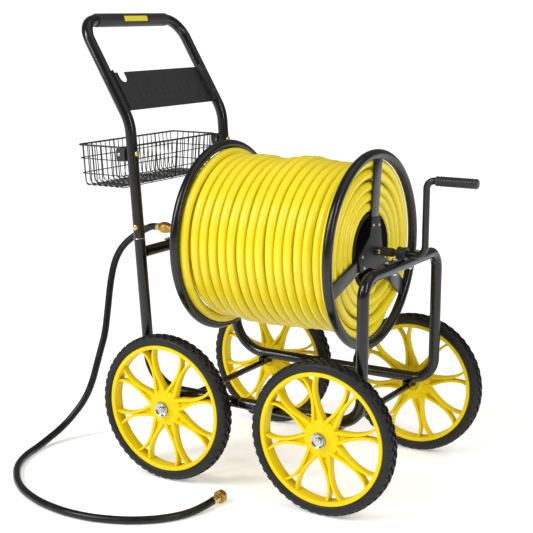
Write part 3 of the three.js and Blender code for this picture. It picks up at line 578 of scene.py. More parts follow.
zinc = bright_zinc()
axle_brass = polished_brass()
NUT_Y = WHEEL_Y + HUB_HALF
for end, axle_x in AXLE_X.items():
    for side, sign in (("left", -1), ("right", 1)):
        bm = bmesh.new()
        origin = Vector((axle_x, sign * NUT_Y, WHEEL_RADIUS))
        axis = Vector((0, sign, 0))
        turn_up(bm, [(0.0064, 0.0003), (0.0138, 0.0003), (0.0176, 0.0040), (0.0176, 0.0050),
                     (0.0168, 0.0053), (0.0158, 0.0046), (0.0128, 0.0018), (0.0064, 0.0016),
                     (0.0064, 0.0003)], origin, axis)
        hex_bar(bm, 0.0078, origin, axis, 0.0018, 0.0072, 0.0008)
        finish_piece(bm, f"axle_nut_{end}_{side}", zinc, "frame",
                     [f"hub_nut_{end}_{side}"])
        bm = bmesh.new()
        turn_up(bm, [(0.0, 0.0065), (0.0046, 0.0065), (0.0046, 0.0080), (0.0036, 0.0088),
                     (0.0, 0.0090)], origin, axis, 20)
        finish_piece(bm, f"axle_end_{end}_{side}", axle_brass, "frame")


# Reel flanges: a ring of 23 mm tube with three flat bars welded in, and a hub plate
# bolted over their inner ends. The front one has the collar and set bolt that grip the crank.
FLANGE_X = {"front": 0.225, "rear": -0.179}
FLANGE_RADIUS = 0.2237
FLANGE_TUBE = 0.0115
BAR_WIDTH = 0.038
BAR_THICK = 0.004
PLATE_THICK = 0.003
BAR_ANGLES = (math.radians(84), math.radians(198), math.radians(324))


def around_reel(angle):
    """The turn about the reel's shaft that carries +Z to an angle measured from +Y."""
    return Matrix.Rotation(angle - math.pi / 2, 4, "X")


def reel_flange(bm, x):
    ring = bmesh.ops.create_circle(
        bm, segments=24, radius=FLANGE_TUBE,
        matrix=Matrix.Translation((x, 0, REEL_Z + FLANGE_RADIUS)) @ Matrix.Rotation(
            math.pi / 2, 4, "X"))["verts"]
    edges = edges_of(ring)
    bmesh.ops.spin(bm, geom=ring + edges, cent=(x, 0, REEL_Z), axis=(1, 0, 0),
                   angle=2 * math.pi, steps=128, use_merge=True)
    for angle in BAR_ANGLES:
        flat_bar(bm, x, angle)


def flat_bar(bm, x, angle):
    """A flat bar with eased edges, from under the hub plate into the ring."""
    inner, outer = 0.046, FLANGE_RADIUS - 0.006
    made = bmesh.ops.create_cube(
        bm, size=1.0, matrix=Matrix.Diagonal((BAR_THICK, BAR_WIDTH, outer - inner, 1)))["verts"]
    verts = ease_edges(bm, edges_of(made), 0.0009)
    place = Matrix.Translation((x, 0, REEL_Z)) @ around_reel(angle)
    place = place @ Matrix.Translation((0, 0, (inner + outer) / 2))
    bmesh.ops.transform(bm, verts=verts, matrix=place)


flange_paint = powder_coat("flange_paint", (0.005, 0.005, 0.006), 0.16, 0.28)
for end, x in FLANGE_X.items():
    bm = bmesh.new()
    reel_flange(bm, x)
    finish_piece(bm, f"reel_ring_{end}", flange_paint, "reel",
                 [f"reel_flange_{end}"])


def textured_sheet():
    """Wrinkle-coated sheet steel, greyer and rougher than the tubes."""
    material = node_material("textured_sheet", (0.014, 0.014, 0.016), 0.5, gloss=0.3)
    wrinkle = add_pattern(material, 620.0, 3.0)
    vary(material, wrinkle, "Base Color", (0.016, 0.016, 0.017), (0.036, 0.036, 0.038))
    vary(material, wrinkle, "Roughness", 0.42, 0.58)
    roughen(material, wrinkle, 0.00022)
    return material


sheet_black = textured_sheet()
LOBE_REACH = 0.078
LOBE_WAIST = 0.034


def hub_plate(bm, x, away):
    """Three lobes round the shaft, one over each bar, raised PLATE_THICK from x."""
    corners = []
    half = BAR_WIDTH / 2
    for angle in BAR_ANGLES:
        turn = around_reel(angle)
        for side_y, up in ((-half, LOBE_REACH), (half, LOBE_REACH), (half + 0.008, LOBE_WAIST)):
            corners.append(bm.verts.new(turn @ Vector((0, -side_y, up))))
    face = bmesh.ops.contextual_create(bm, geom=corners)["faces"]
    grown = bmesh.ops.extrude_face_region(bm, geom=face)["geom"]
    bmesh.ops.translate(bm, verts=[g for g in grown if isinstance(g, bmesh.types.BMVert)],
                        vec=(away * PLATE_THICK, 0, 0))
    ease_edges(bm, bm.edges[:], 0.0007)
    bmesh.ops.translate(bm, verts=bm.verts, vec=(x, 0, REEL_Z))


def domed_head(bm, origin, axis, radius, height):
    """A round bolt head with a shallow cross or socket in it."""
    middle = 0.72 * height
    turn_up(bm, [(0.0, 0.0), (radius, 0.0), (radius, height * 0.35), (radius * 0.86, height * 0.75),
                 (radius * 0.55, height), (radius * 0.3, height), (radius * 0.22, middle),
                 (0.0, middle)], origin, axis, 16)


bar_face = BAR_THICK / 2 + GAP
bm = bmesh.new()
hub_plate(bm, FLANGE_X["front"] + bar_face, 1)
turn_up(bm, [(0.0083, 0.0), (0.0104, 0.0), (0.0104, 0.0505), (0.0098, 0.0520), (0.0083, 0.0520),
             (0.0083, 0.0)], (FLANGE_X["front"] + bar_face, 0, REEL_Z), (1, 0, 0))
finish_piece(bm, "front_hub_plate", sheet_black, "reel", ["hub_plate_front"])

bm = bmesh.new()
hub_plate(bm, FLANGE_X["rear"] - bar_face, -1)
turn_up(bm, [(0.005, 0.0), (0.008, 0.0), (0.008, 0.163), (0.005, 0.163), (0.005, 0.0)],
        (FLANGE_X["rear"] - bar_face, 0, REEL_Z), (-1, 0, 0))
finish_piece(bm, "rear_hub_plate", sheet_black, "reel", ["hub_plate_rear"])

# Two zinc bolts through each lobe, front and rear, and the brass set bolt on the crank's collar.
HUB_BOLT_ACROSS = 0.0145
HUB_BOLT_OUT = 0.060
bm = bmesh.new()
for end, away in (("front", 1), ("rear", -1)):
    face_x = FLANGE_X[end] + away * (bar_face + PLATE_THICK)
    for angle in BAR_ANGLES:
        for across in (-HUB_BOLT_ACROSS, HUB_BOLT_ACROSS):
            out = around_reel(angle) @ Vector((0, across, HUB_BOLT_OUT))
            spot = Vector((face_x, 0, REEL_Z)) + out
            domed_head(bm, spot, (away, 0, 0), 0.0040, 0.0030)
passivated = node_material("passivated_zinc", (0.60, 0.50, 0.36), 0.35, 1.0)
stain = add_pattern(passivated, 300.0)
vary(passivated, stain, "Roughness", 0.28, 0.45)
finish_piece(bm, "hub_plate_bolts", passivated, "reel")

SET_BOLT_X = 0.246
bm = bmesh.new()
domed_head(bm, (SET_BOLT_X, -0.0100, REEL_Z + 0.001), (0, -1, 0.05), 0.0056, 0.0052)
finish_piece(bm, "crank_set_bolt", polished_brass(), "reel")
refinish("reel_drum", sheet_black)
refinish("drum_water_pipe", zinc)


# Wound hose: about 74 m of lemon-yellow garden hose in five layers, laid to and fro between the
# flanges by hand, so the last layer wanders, and sinks where the layer under it has spread.
PITCH = 0.02346
LAYERS = 5
WOUND_RADIUS = 0.0117
PACK_REAR = -0.1764
PACK_FRONT = 0.2224
DRUM_RADIUS = 0.0895
FIRST_LAYER = DRUM_RADIUS + PITCH / 2
TURNS = 16
START_ANGLE = math.radians(-10)
END_ANGLE = math.radians(330)
STEP_OVER = 0.78
END_LEAN = 0.0095
UNDER_LEAN = 0.0055
LEAN_IN = 0.2
GROOVE = 1.6
GROOVE_START = 0.76
GROOVE_SINK = 0.002
UNDER_WANDER = 0.3
LOOSE_SPOTS = (  # turn from the rear, angle, reach in turns, spread, shift along x, shift outwards
    (0.0, -90, 0.5, 75, -0.0008, 0.0030),
    (1.1, -85, 0.7, 38, -0.0040, -0.0060), (2.4, -88, 1.0, 42, -0.0060, -0.0100),
    (3.6, -78, 0.8, 34, -0.0200, 0.0010), (5.0, -78, 1.1, 34, -0.0110, 0.0020),
    (7.0, -78, 1.6, 34, -0.0050, 0.0010), (5.5, 85, 1.4, 45, 0.0, -0.0070),
    (9.0, 88, 1.2, 50, 0.0010, 0.0030), (11.5, 80, 1.6, 40, 0.0, -0.0050),
    (8.0, 190, 3.0, 50, 0.0, -0.0035), (13.5, 88, 1.0, 45, 0.0, -0.0045),
    (12.0, -90, 3.0, 45, 0.0, -0.0060), (2.0, 88, 0.8, 40, 0.0015, -0.0040),
    (1.6, -30, 0.8, 30, 0.0, -0.0210),
)


def lemon_hose():
    material = node_material("lemon_hose", (0.81, 0.66, 0.010), 0.22, gloss=0.6)
    shade = add_pattern(material, 6.0, 2.0)
    vary(material, shade, "Base Color", (0.79, 0.63, 0.008), (0.83, 0.68, 0.013))
    bloom = add_pattern(material, 40.0, 3.0)
    vary(material, bloom, "Roughness", 0.20, 0.28)
    return material


def wander(turn, angle):
    """How far the last layer strays along the reel and outwards, at a turn and an angle."""
    shift_x, shift_r = 0.0, 0.0
    for spot_turn, spot_angle, reach, spread, along, out in LOOSE_SPOTS:
        off = math.remainder(angle - math.radians(spot_angle), 2 * math.pi)
        weight = math.exp(-(off / math.radians(spread)) ** 2 - ((turn - spot_turn) / reach) ** 2)
        shift_x += along * weight
        shift_r += out * weight
    place = Vector((turn * 0.9, 1.3 * math.cos(angle), 1.3 * math.sin(angle)))
    shift_x += 0.0016 * noise.noise(place)
    shift_r += 0.0024 * noise.noise(place + Vector((40, 0, 0)))
    return shift_x, shift_r


def settle(share, start=0.0):
    """Eases from 0 to 1 between start and 1."""
    part = min(1.0, max(0.0, (share - start) / (1.0 - start)))
    return part * part * (3 - 2 * part)


def winding_line(steps_per_turn=64):
    """The hose's centreline: turns that lie square, then step over to the next on the far side."""
    rear = PACK_REAR + PITCH / 2
    front = PACK_FRONT - PITCH / 2
    spacing = (front - rear) / (TURNS - 1)
    points = []
    for layer in range(LAYERS):
        last = layer == LAYERS - 1
        for station in range(TURNS):
            ending = station == TURNS - 1
            for step in range(steps_per_turn):
                share = step / steps_per_turn
                if last and ending and share * 2 * math.pi > END_ANGLE - START_ANGLE:
                    break
                angle = START_ANGLE + 2 * math.pi * share
                over = settle(share, STEP_OVER)
                turn = station + (0.0 if ending else over)
                r = FIRST_LAYER + (layer + (over if ending and not last else 0.0)) * PITCH
                if layer % 2 == 0:
                    turn = TURNS - 1 - turn
                shift_x, shift_r = wander(turn, angle)
                lean = min(1.0, max(0.0, 1 - turn) + max(0.0, turn - TURNS + 2))
                if not last:
                    shift_x = 0.0
                    shift_r = UNDER_WANDER * shift_r * (1 - lean)
                    if layer == LAYERS - 2:
                        shift_r += UNDER_LEAN * lean
                else:
                    shift_r += END_LEAN * lean
                    if station == 0:
                        shift_r -= END_LEAN * (1 - settle(share / LEAN_IN))
                if last and ending:
                    drop = settle(share, GROOVE_START)
                    shift_x += (GROOVE * PITCH - shift_x) * drop
                    shift_r -= (shift_r + GROOVE_SINK) * drop
                points.append((rear + turn * spacing + shift_x, r + shift_r, angle))
    return [Vector((x, r * math.cos(a), REEL_Z + r * math.sin(a))) for x, r, a in points]


wound_points = winding_line()
wound_line = bpy.data.curves.new("wound_hose_turns", "CURVE")
wound_line.dimensions = "3D"
wound_line.bevel_depth = WOUND_RADIUS
wound_line.bevel_resolution = 4
wound_line.resolution_u = 1
wound_line.use_fill_caps = True
wound_spline = wound_line.splines.new("POLY")
wound_spline.points.add(len(wound_points) - 1)
for point, place in zip(wound_spline.points, wound_points):
    point.co = (*place, 1.0)
wound_hose = bpy.data.objects.new("wound_hose_turns", wound_line)
wound_line.materials.append(lemon_hose())
scene.collection.objects.link(wound_hose)
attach(wound_hose, "reel")
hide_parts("wound_hose")
refinish("wound_hose_coupling", polished_brass())


# Bearings: a black strap arched over a nylon bush, on a long foot bolted down to the hoop in
# front and to the cross tube behind.
BEARING_HALF = 0.011
BEARING_DROP = 0.0111
STRAP_TOP = 0.0145
BEARING_BOLT_Y = 0.042
FOOT_SCREW_Y = 0.084


def bearing_block(bm, x):
    bore = 0.0101
    arch = [(STRAP_TOP, -BEARING_DROP), (bore, -BEARING_DROP)]
    outer = [bm.verts.new((-BEARING_HALF, STRAP_TOP * math.cos(a), STRAP_TOP * math.sin(a)))
             for a in [math.pi * k / 16 for k in range(17)]]
    inner = [bm.verts.new((-BEARING_HALF, bore * math.cos(a), bore * math.sin(a)))
             for a in [math.pi * k / 16 for k in range(17)]]
    feet = [[bm.verts.new((-BEARING_HALF, s * r, z)) for r, z in arch] for s in (1, -1)]
    outline = [feet[0][0], *outer, feet[1][0], feet[1][1], *reversed(inner), feet[0][1]]
    face = [bm.faces.new(outline)]
    grown = bmesh.ops.extrude_face_region(bm, geom=face)["geom"]
    bmesh.ops.translate(bm, verts=[g for g in grown if isinstance(g, bmesh.types.BMVert)],
                        vec=(2 * BEARING_HALF, 0, 0))
    for rib_x in (-0.0085, 0.0085):
        turn_up(bm, [(bore, -0.0016), (STRAP_TOP + 0.0014, -0.0016), (STRAP_TOP + 0.0014, 0.0016),
                     (bore, 0.0016), (bore, -0.0016)], (rib_x, 0, 0), (1, 0, 0))
    foot = bmesh.ops.create_cube(bm, size=1.0, matrix=Matrix.Translation(
        (0, 0, -BEARING_DROP + PLATE_THICK / 2)) @ Matrix.Diagonal((0.0154, 0.184, PLATE_THICK, 1)))
    ease_edges(bm, edges_of(foot["verts"]), 0.0008)
    bmesh.ops.translate(bm, verts=bm.verts, vec=(x, 0, REEL_Z))


def hex_nut_below(bm, origin, axis, start):
    hex_bar(bm, 0.0050, origin, axis, start, start + 0.0042, 0.0005)


def moulded_nylon():
    material = node_material("moulded_nylon", (0.02, 0.02, 0.021), 0.45)
    grain = add_pattern(material, 300.0, 3.0)
    vary(material, grain, "Roughness", 0.38, 0.55)
    return material


nylon = moulded_nylon()
for end, x in (("front", HOOP_X), ("rear", REAR_BAR_X)):
    bm = bmesh.new()
    bearing_block(bm, x)
    finish_piece(bm, f"bearing_strap_{end}", sheet_black, "frame",
                 [f"{end}_bearing_block"])
    for side, sign in (("left", -1), ("right", 1)):
        bm = bmesh.new()
        seat = REEL_Z - BEARING_DROP + PLATE_THICK + GAP
        spot = Vector((x, sign * BEARING_BOLT_Y, seat))
        domed_head(bm, spot, (0, 0, 1), 0.0068, 0.0042)
        turn_up(bm, [(0.0, -0.036), (0.003, -0.036), (0.003, 0.0), (0.0, 0.0)], spot, (0, 0, 1), 12)
        hex_nut_below(bm, Vector((x, sign * BEARING_BOLT_Y, HOOP_Z - TUBE_RADIUS)), (0, 0, -1), GAP)
        finish_piece(bm, f"bearing_screw_{end}_{side}", zinc, "frame",
                     [f"{end}_bearing_bolt_{side}"])
    bm = bmesh.new()
    for sign in (-1, 1):
        domed_head(bm, (x, sign * FOOT_SCREW_Y, seat), (0, 0, 1), 0.0055, 0.0030)
    finish_piece(bm, f"bearing_foot_screws_{end}", zinc, "frame")
    refinish(f"{end}_bearing_bush", nylon)


# Crank: a 16 mm black rod bent twice, with a ribbed grip that turns on its end.
CRANK_ARM_X = 0.3575
GRIP_Z = 0.733
GRIP_START = 0.380
GRIP_END = 0.480
CRANK_RADIUS = 0.008
bm = bmesh.new()
bend_tube(bm, [(FLANGE_X["front"] + bar_face, 0, REEL_Z), (CRANK_ARM_X, 0, REEL_Z),
               (CRANK_ARM_X, 0, GRIP_Z), (GRIP_START - 0.003, 0, GRIP_Z)],
          [0.022, 0.019], CRANK_RADIUS, 20)
turn_up(bm, [(0.0, 0.0), (0.005, 0.0), (0.005, 0.098), (0.0, 0.098)],
        (GRIP_START - 0.006, 0, GRIP_Z), (1, 0, 0), 16)
finish_piece(bm, "crank_bar", black_paint, "reel", ["crank_rod"])


def ribbed_rubber():
    material = node_material("ribbed_rubber", (0.014, 0.014, 0.015), 0.42)
    grain = add_pattern(material, 500.0, 3.0)
    vary(material, grain, "Roughness", 0.34, 0.5)
    roughen(material, grain, 0.0001)
    return material


GRIP_RIBS = 13
outline = [(0.0056, GRIP_START), (0.0100, GRIP_START), (0.0112, GRIP_START + 0.0012),
           (0.0112, GRIP_START + 0.0060)]
rib_pitch = (GRIP_END - GRIP_START - 0.020) / GRIP_RIBS
for rib in range(GRIP_RIBS):
    start = GRIP_START + 0.008 + rib * rib_pitch
    outline += [(0.0102, start), (0.0102, start + 0.3 * rib_pitch),
                (0.0115, start + 0.45 * rib_pitch), (0.0115, start + 0.85 * rib_pitch)]
outline += [(0.0102, GRIP_END - 0.010), (0.0113, GRIP_END - 0.009), (0.0115, GRIP_END - 0.0040),
            (0.0100, GRIP_END - 0.0008), (0.0060, GRIP_END), (0.0, GRIP_END),
            (0.0, GRIP_END - 0.004), (0.0056, GRIP_END - 0.004), (0.0056, GRIP_START)]
bm = bmesh.new()
turn_up(bm, outline, (0, 0, GRIP_Z), (1, 0, 0), 28)
finish_piece(bm, "crank_handgrip", ribbed_rubber(), "crank_grip", ["crank_grip"])


# Handle grip: a smooth black foam sleeve with a plain yellow band where the label goes.
def foam_sleeve():
    material = node_material("foam_sleeve", (0.016, 0.016, 0.017), 0.5)
    cells = add_pattern(material, 850.0, 3.0)
    vary(material, cells, "Roughness", 0.42, 0.6)
    roughen(material, cells, 0.00015)
    return material


FOAM_RADIUS = 0.0165
FOAM_HALF = 0.143
handle_middle = Vector((arm_x(HANDLE_TOP_Z), 0, HANDLE_TOP_Z))
bm = bmesh.new()
turn_up(bm, [(0.0138, -FOAM_HALF), (0.0152, -FOAM_HALF), (0.0161, -FOAM_HALF + 0.0008),
             (FOAM_RADIUS, -FOAM_HALF + 0.0025), (FOAM_RADIUS, FOAM_HALF - 0.0025),
             (0.0161, FOAM_HALF - 0.0008), (0.0152, FOAM_HALF), (0.0138, FOAM_HALF),
             (0.0138, -FOAM_HALF)], handle_middle, (0, 1, 0), 40)
finish_piece(bm, "handle_foam", foam_sleeve(), "frame", ["handle_grip"])


def label_yellow():
    material = node_material("label_yellow", (0.75, 0.62, 0.01), 0.45)
    ink = add_pattern(material, 260.0, 2.0)
    vary(material, ink, "Base Color", (0.66, 0.53, 0.008), (0.80, 0.68, 0.012))
    return material


bm = bmesh.new()
LABEL_Y = (-0.047, 0.047)
LABEL_ARC = (math.radians(-8), math.radians(38))
first = bm.verts.new(handle_middle + Vector((FOAM_RADIUS + 0.0001, LABEL_Y[0], 0)))
second = bm.verts.new(handle_middle + Vector((FOAM_RADIUS + 0.0001, LABEL_Y[1], 0)))
edge = bm.edges.new((first, second))
bmesh.ops.rotate(bm, verts=[first, second], cent=handle_middle,
                 matrix=Matrix.Rotation(-LABEL_ARC[0], 3, "Y"))
bmesh.ops.spin(bm, geom=[edge], cent=handle_middle, axis=(0, -1, 0),
               angle=LABEL_ARC[1] - LABEL_ARC[0], steps=6)
bmesh.ops.recalc_face_normals(bm, faces=bm.faces)
bmesh.ops.solidify(bm, geom=bm.faces[:], thickness=-0.0004)
finish_piece(bm, "handle_label_band", label_yellow(), "frame")


# Tool panel: folded 2 mm sheet between the arms, its lips forward along them, with a slot for a
# nozzle in the top edge and a pressed frame of ribs in its face.
PANEL_MID_Z = 0.918
PANEL_HEIGHT = 0.102
PANEL_HALF = 0.185
PANEL_BACK = -0.006
PANEL_THICK = 0.002
PANEL_LIP = 0.012
SLOT_Y = -0.136
SLOT_RADIUS = 0.013
SLOT_DEPTH = 0.027
panel_place = Matrix.Translation((arm_x(PANEL_MID_Z), 0, PANEL_MID_Z)) @ Matrix.Rotation(
    math.atan(ARM_LEAN), 4, "Y")


def panel_sheet(bm):
    """The web with its slot, cut from one outline and thickened."""
    top = PANEL_HEIGHT / 2
    foot = top - SLOT_DEPTH + SLOT_RADIUS
    outline = [(-PANEL_HALF, -top), (-PANEL_HALF, top), (SLOT_Y - SLOT_RADIUS - 0.001, top),
               (SLOT_Y - SLOT_RADIUS, top - 0.001)]
    for k in range(13):
        a = math.pi + math.pi * k / 12
        outline.append((SLOT_Y + SLOT_RADIUS * math.cos(a), foot + SLOT_RADIUS * math.sin(a)))
    outline += [(SLOT_Y + SLOT_RADIUS, top - 0.001), (SLOT_Y + SLOT_RADIUS + 0.001, top),
                (PANEL_HALF, top), (PANEL_HALF, -top)]
    verts = [bm.verts.new((PANEL_BACK, y, z)) for y, z in outline]
    face = [bm.faces.new(verts)]
    extrude_by(bm, face, (PANEL_THICK, 0, 0))
    for sign in (-1, 1):
        lip = bmesh.ops.create_cube(bm, size=1.0, matrix=Matrix.Translation(
            ((PANEL_BACK + PANEL_LIP) / 2, sign * (PANEL_HALF - PANEL_THICK / 2), 0)) @
            Matrix.Diagonal((PANEL_LIP - PANEL_BACK, PANEL_THICK, PANEL_HEIGHT, 1)))["verts"]
        ease_edges(bm, edges_of(lip), 0.0006)


def extrude_by(bm, faces, step):
    grown = bmesh.ops.extrude_face_region(bm, geom=faces)["geom"]
    verts = [part for part in grown if isinstance(part, bmesh.types.BMVert)]
    bmesh.ops.translate(bm, verts=verts, vec=step)
    return verts


def pressed_rib(bm, start, end, width, height):
    """A low rounded ridge on the panel's face between two places."""
    start, end = Vector(start), Vector(end)
    along = end - start
    turn = Matrix.Rotation(math.atan2(along.y, along.x), 4, "X")
    verts = bmesh.ops.create_cube(bm, size=1.0, matrix=Matrix.Translation(
        (PANEL_BACK + PANEL_THICK, (start.x + end.x) / 2, (start.y + end.y) / 2)) @ turn @
        Matrix.Diagonal((2 * height, along.length + width, width, 1)))["verts"]
    ridge = [vert for vert in verts if vert.co.x > PANEL_BACK + PANEL_THICK]
    ease_edges(bm, edges_of(ridge), height * 0.8, 3)


RIB_FRAME = (-0.100, 0.142, -0.030, 0.033)
bm = bmesh.new()
panel_sheet(bm)
y0, y1, z0, z1 = RIB_FRAME
for start, end in (((y0, z0), (y1, z0)), ((y0, z1), (y1, z1)), ((y0, z0), (y0, z1)),
                   ((y1, z0), (y1, z1))):
    pressed_rib(bm, (*start, 0), (*end, 0), 0.0045, 0.0011)
SLAT_COUNT = 9
for slat in range(SLAT_COUNT):
    y = y0 + 0.025 + slat * (y1 - y0 - 0.050) / (SLAT_COUNT - 1)
    pressed_rib(bm, (y, -0.014, 0), (y, 0.017, 0), 0.0050, 0.0011)
bmesh.ops.transform(bm, verts=bm.verts, matrix=panel_place)
finish_piece(bm, "tool_panel_sheet", sheet_black, "frame", ["tool_panel"])

# Small screws hold the panel's lips to the arms, through each tube.
PANEL_SCREW_UP = (0.036, -0.028)
bm = bmesh.new()
for sign in (-1, 1):
    for up in PANEL_SCREW_UP:
        inside = panel_place @ Vector((0.0085, sign * (PANEL_HALF + 0.0020), up))
        domed_head(bm, inside, (0, -sign, 0), 0.0030, 0.0036)
finish_piece(bm, "panel_screws", zinc, "frame")
bm = bmesh.new()
for sign in (-1, 1):
    for up in PANEL_SCREW_UP:
        outside = panel_place @ Vector((0.0, sign * (FRAME_Y + TUBE_RADIUS - 0.0006), up))
        domed_head(bm, outside, (0, sign, 0), 0.0042, 0.0028)
finish_piece(bm, "panel_screw_heads", black_paint, "frame")


# Basket: black coated wire, spot welded. U-shaped wires run both ways through the floor, two
# wires run round the sides, and a thicker one makes the rim.
BASKET_TOP = 0.788
BASKET_FLOOR = 0.684
BASKET_X = (-0.480, -0.340)
BASKET_Y = 0.203
BASKET_TAPER = 0.008
WIRE = 0.0013
RIM_WIRE = 0.0023
SIDE_WIRE_Z = (0.753, 0.716)
WIRE_MARGIN = 0.018


def coated_wire():
    material = node_material("coated_wire", (0.012, 0.012, 0.013), 0.38)
    skin = add_pattern(material, 240.0, 3.0)
    vary(material, skin, "Roughness", 0.3, 0.5)
    return material


def basket_ring(bm, z, radius, corner):
    """A wire all the way round at one height, closed at the middle of the front."""
    share = (BASKET_TOP - z) / (BASKET_TOP - BASKET_FLOOR)
    inset = BASKET_TAPER * share + radius
    x0, x1 = BASKET_X[0] + inset, BASKET_X[1] - inset
    y1 = BASKET_Y - inset
    bend_tube(bm, [(x1, 0, z), (x1, y1, z), (x0, y1, z), (x0, -y1, z), (x1, -y1, z), (x1, 0, z)],
              [corner] * 4, radius, 8, math.radians(22))


def basket_u(bm, across_x, place, radius):
    """A wire down one side, over the floor and up the other side."""
    inset = RIM_WIRE + 0.001
    deep = BASKET_FLOOR + WIRE + (2 * WIRE if across_x else 0)
    if across_x:
        high, low = BASKET_X[0] + inset, BASKET_X[0] + inset + BASKET_TAPER
        far_high, far_low = BASKET_X[1] - inset, BASKET_X[1] - inset - BASKET_TAPER
        points = [(high, place, BASKET_TOP - RIM_WIRE), (low, place, deep),
                  (far_low, place, deep), (far_high, place, BASKET_TOP - RIM_WIRE)]
    else:
        high, low = BASKET_Y - inset, BASKET_Y - inset - BASKET_TAPER
        points = [(place, -high, BASKET_TOP - RIM_WIRE), (place, -low, deep),
                  (place, low, deep), (place, high, BASKET_TOP - RIM_WIRE)]
    bend_tube(bm, points, [0.012, 0.012], radius, 6, math.radians(22))


bm = bmesh.new()
basket_ring(bm, BASKET_TOP - RIM_WIRE, RIM_WIRE, 0.010)
for z in SIDE_WIRE_Z:
    basket_ring(bm, z, WIRE, 0.010)
LONG_WIRES = 7
for k in range(LONG_WIRES):
    x = BASKET_X[0] + WIRE_MARGIN + k * (BASKET_X[1] - BASKET_X[0] - 2 * WIRE_MARGIN) / (LONG_WIRES - 1)
    basket_u(bm, False, x, WIRE)
CROSS_WIRES = 22
for k in range(CROSS_WIRES):
    y = -BASKET_Y + WIRE_MARGIN + k * 2 * (BASKET_Y - WIRE_MARGIN) / (CROSS_WIRES - 1)
    basket_u(bm, True, y, WIRE * (1.5 if k % 5 == 2 else 1.0))
finish_piece(bm, "basket_wires", coated_wire(), "frame", ["wire_basket"])


# Basket brackets: angle plates behind the posts, each held by a brass bolt through the post, with
# a bright screw into the basket's side.
def bracket_plate(bm, low, high, ease=0.004):
    size = [b - a for a, b in zip(low, high)]
    middle = [(a + b) / 2 for a, b in zip(low, high)]
    verts = bmesh.ops.create_cube(bm, size=1.0, matrix=Matrix.Translation(middle) @
                                  Matrix.Diagonal((*size, 1)))["verts"]
    thin = min(range(3), key=lambda i: size[i])
    corners = [edge for edge in edges_of(verts)
               if abs((edge.verts[0].co - edge.verts[1].co)[thin]) > 0.0001]
    ease_edges(bm, corners, ease, 4)


BASKET_BOLT_Z = 0.772
for side, sign in (("left", -1), ("right", 1)):
    low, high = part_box(f"basket_bracket_{side}")
    bm = bmesh.new()
    back_x = high[0] - PLATE_THICK
    outer = sign * (BASKET_Y + 0.002)
    bracket_plate(bm, (back_x, low[1], low[2]), (high[0], high[1], high[2]))
    bracket_plate(bm, (low[0], min(outer, outer + sign * PLATE_THICK), low[2]),
                  (high[0], max(outer, outer + sign * PLATE_THICK), high[2]), 0.007)
    finish_piece(bm, f"basket_angle_{side}", sheet_black, "frame",
                 [f"basket_bracket_{side}"])
    bm = bmesh.new()
    domed_head(bm, (BASKET_X[1] - 0.007, outer + sign * PLATE_THICK, BASKET_BOLT_Z - 0.002),
               (0, sign, 0), 0.0045, 0.0030)
    finish_piece(bm, f"basket_screw_{side}", zinc, "frame")


# Long bolts: brass-plated through the posts, zinc through the rails, a domed head outside and a
# hexagon nut inside.
def long_bolt(bm, origin, axis, reach, back):
    axis = Vector(axis).normalized()
    domed_head(bm, Vector(origin) + axis * reach, axis, 0.0072, 0.0044)
    turn_up(bm, [(0.0, -back - 0.004), (0.003, -back - 0.004), (0.003, reach), (0.0, reach)],
            origin, axis, 12)
    hex_nut_below(bm, origin, -axis, back)


plated_brass = polished_brass()
POST_BOLT_Z = 0.598
RAIL_BOLT_X = -0.039
tube_face = TUBE_RADIUS + GAP
for side, sign in (("left", -1), ("right", 1)):
    y = sign * FRAME_Y
    bm = bmesh.new()
    long_bolt(bm, (post_x(POST_BOLT_Z), y, POST_BOLT_Z), (0, sign, 0), tube_face - 0.001, tube_face)
    finish_piece(bm, f"post_bolt_brass_{side}", plated_brass, "frame",
                 [f"post_bolt_{side}"])
    bm = bmesh.new()
    long_bolt(bm, (RAIL_BOLT_X, y, RAIL_Z), (0, sign, 0), tube_face - 0.001, tube_face)
    finish_piece(bm, f"rail_bolt_zinc_{side}", zinc, "frame", [f"rail_bolt_{side}"])
    bm = bmesh.new()
    long_bolt(bm, (post_x(BASKET_BOLT_Z), y, BASKET_BOLT_Z), (1, 0, -POST_LEAN),
              tube_face - 0.001, tube_face + PLATE_THICK + 0.002)
    finish_piece(bm, f"basket_bolt_brass_{side}", plated_brass, "frame",
                 [f"basket_bolt_{side}"])


# Axles: black tubes welded under the rails on short saddles, with the steel rods inside them.
AXLE_TUBE = 0.008
for end, x in AXLE_X.items():
    bm = bmesh.new()
    reach = WHEEL_Y - 0.0195
    turn_up(bm, [(0.0066, -reach), (AXLE_TUBE, -reach), (AXLE_TUBE, reach), (0.0066, reach),
                 (0.0066, -reach)], (x, 0, WHEEL_RADIUS), (0, 1, 0), 24)
    for sign in (-1, 1):
        bracket_plate(bm, (x - 0.010, sign * FRAME_Y - 0.009, WHEEL_RADIUS - 0.001),
                      (x + 0.010, sign * FRAME_Y + 0.009, RAIL_Z - TUBE_RADIUS - GAP), 0.002)
    finish_piece(bm, f"axle_sleeve_{end}", black_paint, "frame",
                 [f"{end}_axle_tube"])
    refinish(f"{end}_axle", plated_brass)
    for side in ("left", "right"):
        refinish(f"wheel_bush_{end}_{side}", nylon)
refinish("inlet_swivel_body", cast_brass())


# Studio: a white floor and surround, two wide soft lamps, and two narrow strip boxes whose
# reflections run down the glossy tubes and turns.
FILL_STRENGTH = 0.56
MIRRORED_STRENGTH = 0.20
SEEN_STRENGTH = 1.05
FLOOR_GLOW = 0.30


